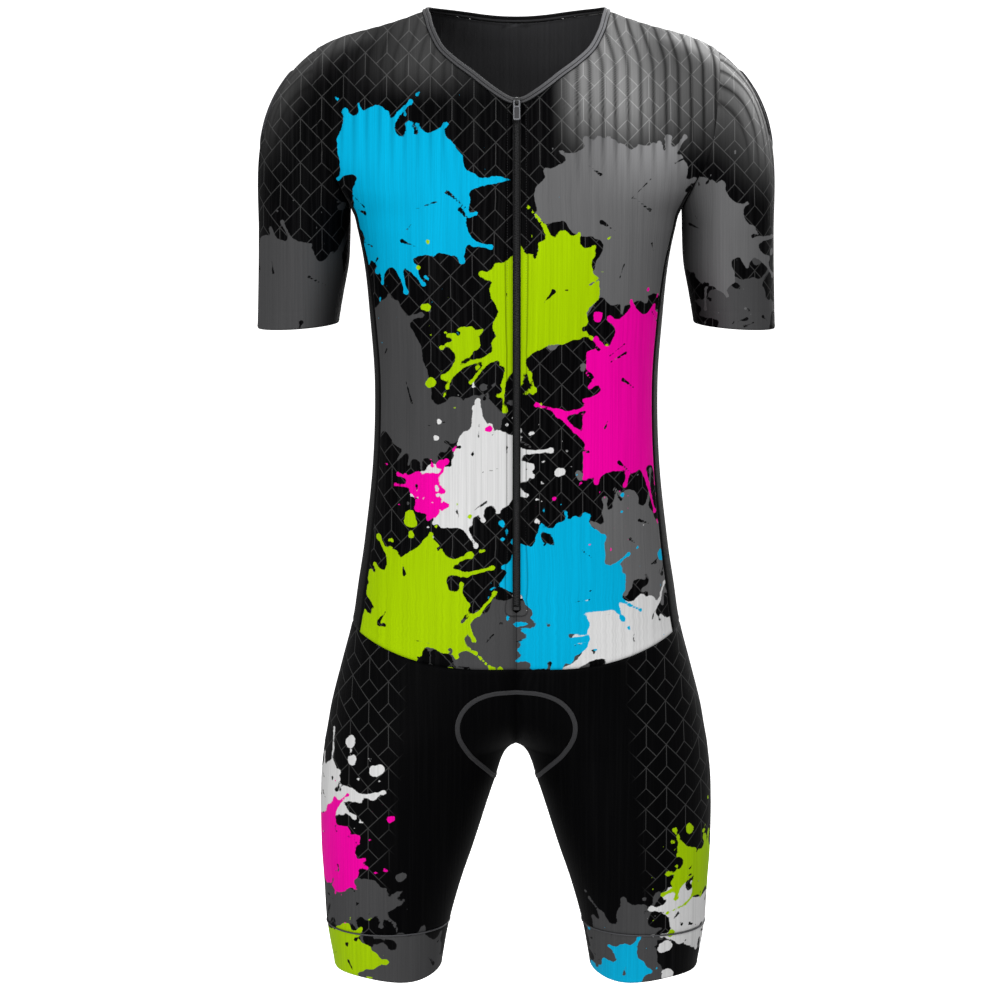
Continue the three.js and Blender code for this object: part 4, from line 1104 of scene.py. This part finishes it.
# one tooth: a block with a rounded top, in (x, along, out)
shape = []
for level, inset in ((0.0, 0.0), (0.62, 0.0), (0.9, 0.16), (1.0, 0.42)):
    hx, hy = tooth["wide"] / 2 - inset, max(tooth["long"] / 2 - inset * 0.8, 0.12)
    shape += [(x * hx, y * hy, level * tooth["high"]) for x, y in ((-1, -1), (1, -1), (1, 1), (-1, 1))]
block = np.vstack([[(3, 2, 1, 0), (12, 13, 14, 15)], gridFaces(4, 4, True)])
verts, faces = [], []
for k in range(toothCount):
    s = (k + 0.5) * tooth["pitch"] / 2
    centre, out = readAt(s, run, path), unit(readAt(s, run, normal))
    across, down, rise = (np.array(shape) + (tooth["offset"] if k % 2 else -tooth["offset"], 0, 0)).T[..., None]
    verts.append(centre + across * [1.0, 0, 0] + down * np.cross([1.0, 0, 0], out) + rise * out)
    faces.append(block + len(shape) * k)
piece = makeMesh("zip_teeth", np.vstack(verts), np.vstack(faces)[:, ::-1], [toothNylon])
piece.data.polygons.foreach_set("use_smooth", np.zeros(len(piece.data.polygons), bool))
place(piece, "zip_chain")
print("zip chain:", toothCount, "teeth")


def plate(outline, low, high, bevel=0.3, hole=None):
    # A plate with rounded edges from an outline; with a hole, its rim has as many points as the outline
    outline = np.asarray(outline, float)
    inner = outline - unit(outline - outline.mean(0)) * bevel
    levels = [(inner, low), (outline, low + bevel), (outline, high - bevel), (inner, high)]
    if hole is not None:
        levels += [(hole, high), (hole, low)]
    count = len(outline)
    verts = np.vstack([np.column_stack([ring, np.full(count, out)]) for ring, out in levels])
    return verts, gridFaces(len(levels), count, True, hole is not None).tolist(), count, hole is None


def roundedBox(width, length, radius, count=6, y=0.0, topWidth=None):
    points = []
    for cx, cy, start in ((1, 1, 0), (-1, 1, 90), (-1, -1, 180), (1, -1, 270)):
        w = (topWidth or width) if cy > 0 else width
        for t in np.radians(start + np.arange(count) * 90 / (count - 1)):
            points.append((cx * (w / 2 - radius) + radius * math.cos(t),
                           y + cy * (length / 2 - radius) + radius * math.sin(t)))
    return points


def hardPiece(name, plates, origin, out, materials):
    # Plates are in (x, up, out) at a point of the middle front. They take the materials in turn, and the last
    # one serves all that follow.
    verts, faces, paint = [], [], []
    axes = np.array([[1.0, 0, 0], np.cross(out, [1.0, 0, 0]), out])
    for k, (points, quads, count, capped) in enumerate(plates):
        base = len(verts)
        verts += list(origin + points @ axes)
        faces += [[base + i for i in quad] for quad in quads]
        if capped:
            faces.append([base + i for i in range(count)][::-1])
            faces.append([len(verts) - count + i for i in range(count)])
        paint += [min(k, len(materials) - 1)] * (len(faces) - len(paint))
    return turnOutward(makeMesh(name, verts, faces, materials, paint=paint), creaseAngle=40)


origin, out = (a[0] for a in middleLine(zipParts["slider"], zipParts["slider"], 1))


def arch(width, length, height, base, thick):
    # A bail: a flat bar bent over the slider from end to end
    outer, inner = [], []
    for t in np.linspace(0, math.pi, 15):
        y, rise = -math.cos(t), math.sin(t) ** 0.7
        outer.append((length / 2 * y, base + height * rise))
        inner.append(((length / 2 - thick) * y, base + (height - thick) * rise))
    loop = outer + inner[::-1]
    count = len(loop)
    points = [(x, y, z) for x in (-width / 2, width / 2) for y, z in loop]
    faces = gridFaces(2, count, True).tolist()
    for k in range(14):
        faces.append([k, k + 1, count - 2 - k, count - 1 - k])
        faces.append([count + k, count + count - 1 - k, count + count - 2 - k, count + k + 1])
    return np.array(points), faces, count, False


sliderPlates = [
    plate(roundedBox(5.6, 9.6, 1.5, topWidth=6.7), 0.9, 2.55, 0.35),  # upper wing
    plate(roundedBox(5.0, 9.0, 1.3, topWidth=6.2), 0.2, 0.9, 0.2),
    arch(2.2, 7.6, 3.7, 2.4, 0.9),
]
place(hardPiece("zip_slider_body", sliderPlates, origin, out, [sliderLacquer]), "zip_slider")

# The pull hangs from the bail: a tab with a raised border and a window at its head
pivot = origin + out * zipParts["pivotOut"]
lean = math.radians(zipParts["pullLean"])
upward = np.cross(out, [1.0, 0, 0])
pullOut = out * math.cos(lean) + upward * math.sin(lean)
# head with its window, tab, raised border of the tab
tab, border = zipParts["pullLength"] - 6.2, zipParts["pullLength"] - 6.4
pullPlates = [
    plate(roundedBox(6.6, 6.6, 1.0, y=-2.7), -0.6, 0.6, 0.25, hole=roundedBox(3.9, 4.8, 0.9, y=-3.0)),
    plate(roundedBox(6.6, tab, 1.7, y=-5.6 - tab / 2), -0.6, 0.45, 0.25),
    plate(roundedBox(6.5, border, 1.6, y=-5.7 - border / 2), 0.3, 0.95, 0.22,
          hole=roundedBox(4.3, border - 2.6, 0.9, y=-5.7 - border / 2)),
]
place(hardPiece("zip_pull_tab", pullPlates, pivot, pullOut, [pullLacquer, recessLacquer, pullLacquer]),
      "zip_pull", "zip_pull")

origin, out = (a[0] for a in middleLine(zipParts["stop"], zipParts["stop"], 1))
place(hardPiece("zip_stop_clip", [plate(roundedBox(5.4, 3.2, 0.7), 0.3, 1.85, 0.35)], origin, out,
                [sliderLacquer]), "zip_bottom_stop")
print("zip made")


# Stitches
def stitches(name, path, normal, material, pitch, length, radius, lift):
    # One short thread for each stitch, its ends sunk into the cloth
    run, side = runAlong(path), frameAlong(path, normal)
    t, turn = np.linspace(-1, 1, 5), np.radians(np.arange(6) * 60)
    quads = gridFaces(5, 6, True).tolist() + [[5, 4, 3, 2, 1, 0], [24, 25, 26, 27, 28, 29]]
    r = (radius * np.sqrt(np.maximum(1 - (0.85 * t) ** 2, 0.05)))[:, None, None]
    verts, faces = [], []
    for k in range(int(run[-1] / pitch)):
        s = (k + 0.5) * pitch + t * length / 2
        o, d = unit(readAt(s, run, normal)), unit(readAt(s, run, side))
        c = readAt(s, run, path) + o * (lift - 0.35 * t**4)[:, None]
        verts.append((c[:, None] + d[:, None] * (r * np.cos(turn)[:, None])
                      + o[:, None] * (r * np.sin(turn)[:, None])).reshape(-1, 3))
        faces += [[30 * k + i for i in quad] for quad in quads]
    return turnOutward(makeMesh(name, np.vstack(verts), faces, [material]))


# Topstitching down both sides of the zip and round its foot
away, foot, corner = zipStitch["away"], zipStitch["foot"], zipStitch["corner"]
line = [(away, z) for z in np.linspace(zipStitch["top"], foot + corner, 160)]
line += [(away - corner * (1 - math.cos(t)), foot + corner * (1 - math.sin(t)))
         for t in np.radians(np.arange(1, 9) * 11.25)]
line += [(x, foot) for x in (2.0, 1.0, 0.0)]
line = np.array(line)
rightHalf = bodyPoint(line[:, 1], angleAt(line[:, 1], line[:, 0]))
path = np.vstack([rightHalf, rightHalf[-2::-1] * flip])
place(stitches("zip_topstitch", path, bodyNormal(path), threadDark,
               **{key: zipStitch[key] for key in ("pitch", "length", "radius", "lift")}), None)
print("stitches made")


# Floor and light
studio = dict(floorZ=-1450.0, floorRadius=9000.0, corner=3000.0, height=9000.0, glow=1.0, worldLight=0.42)
# matt paper with a faint mottle, bright enough to photograph as white
paper, add, shader = newMaterial("white backdrop paper", Roughness=0.9, Specular_IOR_Level=0.2,
                                 Emission_Color=linear("#ffffff"), Emission_Strength=studio["glow"])
mottle = add("TexNoise", {"Vector": add("TexCoord").outputs["Object"], "Scale": 3.0, "Detail": 2.0})
shade = add("Mix", {0: mottle, 6: linear("#f6f6f6"), 7: linear("#ffffff")}, **blend)
feed(shader, {"Base Color": shade.outputs[2]})
floor, corner = studio["floorRadius"], studio["corner"]
profile = [(0.0, 0.0), (floor, 0.0)]
for t in np.linspace(0, math.pi / 2, 10)[1:]:
    profile.append((floor + corner * math.sin(t), corner * (1 - math.cos(t))))
for t in np.linspace(0, math.pi / 2, 12)[1:]:
    profile.append(((floor + corner) * math.cos(t), corner + studio["height"] * math.sin(t)))
turns = np.arange(64) * 2 * math.pi / 64
verts = [(r * math.cos(t), r * math.sin(t), studio["floorZ"] + z) for r, z in profile for t in turns]
dome = makeMesh("backdrop", verts, gridFaces(len(profile), 64, True), [paper])
# the paper is seen, but its own light doesn't wash over the black cloth
dome.visible_diffuse = dome.visible_glossy = dome.visible_shadow = False

world = bpy.data.worlds.new("studio")
bpy.context.scene.world = world
world.use_nodes = True
feed(world.node_tree.nodes["Background"], {"Color": linear("#ffffff"), "Strength": studio["worldLight"]})


def aimed(name, data, at, aim):
    thing = linked(name, data)
    thing.location = at
    thing.rotation_euler = (Vector(aim) - Vector(at)).to_track_quat("-Z", "Y").to_euler()
    return thing


# softboxes: place, size, power in watts, where they point
lights = {
    "key": ((0.9, -1.9, 1.9), (1.1, 1.1), 32, (0.05, 0, -0.35)),
    "fill": ((-1.7, -3.0, -0.3), (1.8, 2.2), 48, (0, 0, -0.40)),
    "rim": ((0.5, 1.1, 1.5), (1.4, 0.6), 12, (0.05, 0, -0.1)),
    "back": ((1.2, 3.0, 0.4), (1.8, 2.2), 46, (0, 0, -0.40)),
}
for name, (at, size, power, aim) in lights.items():
    light = bpy.data.lights.new(name, "AREA")
    light.shape = "RECTANGLE"
    light.size, light.size_y = size
    light.energy = power
    aimed(name, light, at, aim)

# Camera, as the photograph was taken: level with the chest, tilted down a little
view = dict(at=(-0.0154, -3.5, 0.03), aim=(-0.0154, 0.0, -0.47), focalPixels=3692)
camera = bpy.data.cameras.new("camera")
camera.lens = view["focalPixels"] * camera.sensor_width / 1000
camera.clip_end = 60
bpy.context.scene.camera = aimed("camera", camera, view["at"], view["aim"])
bpy.context.scene.view_settings.view_transform = "Standard"
print("light and camera set")
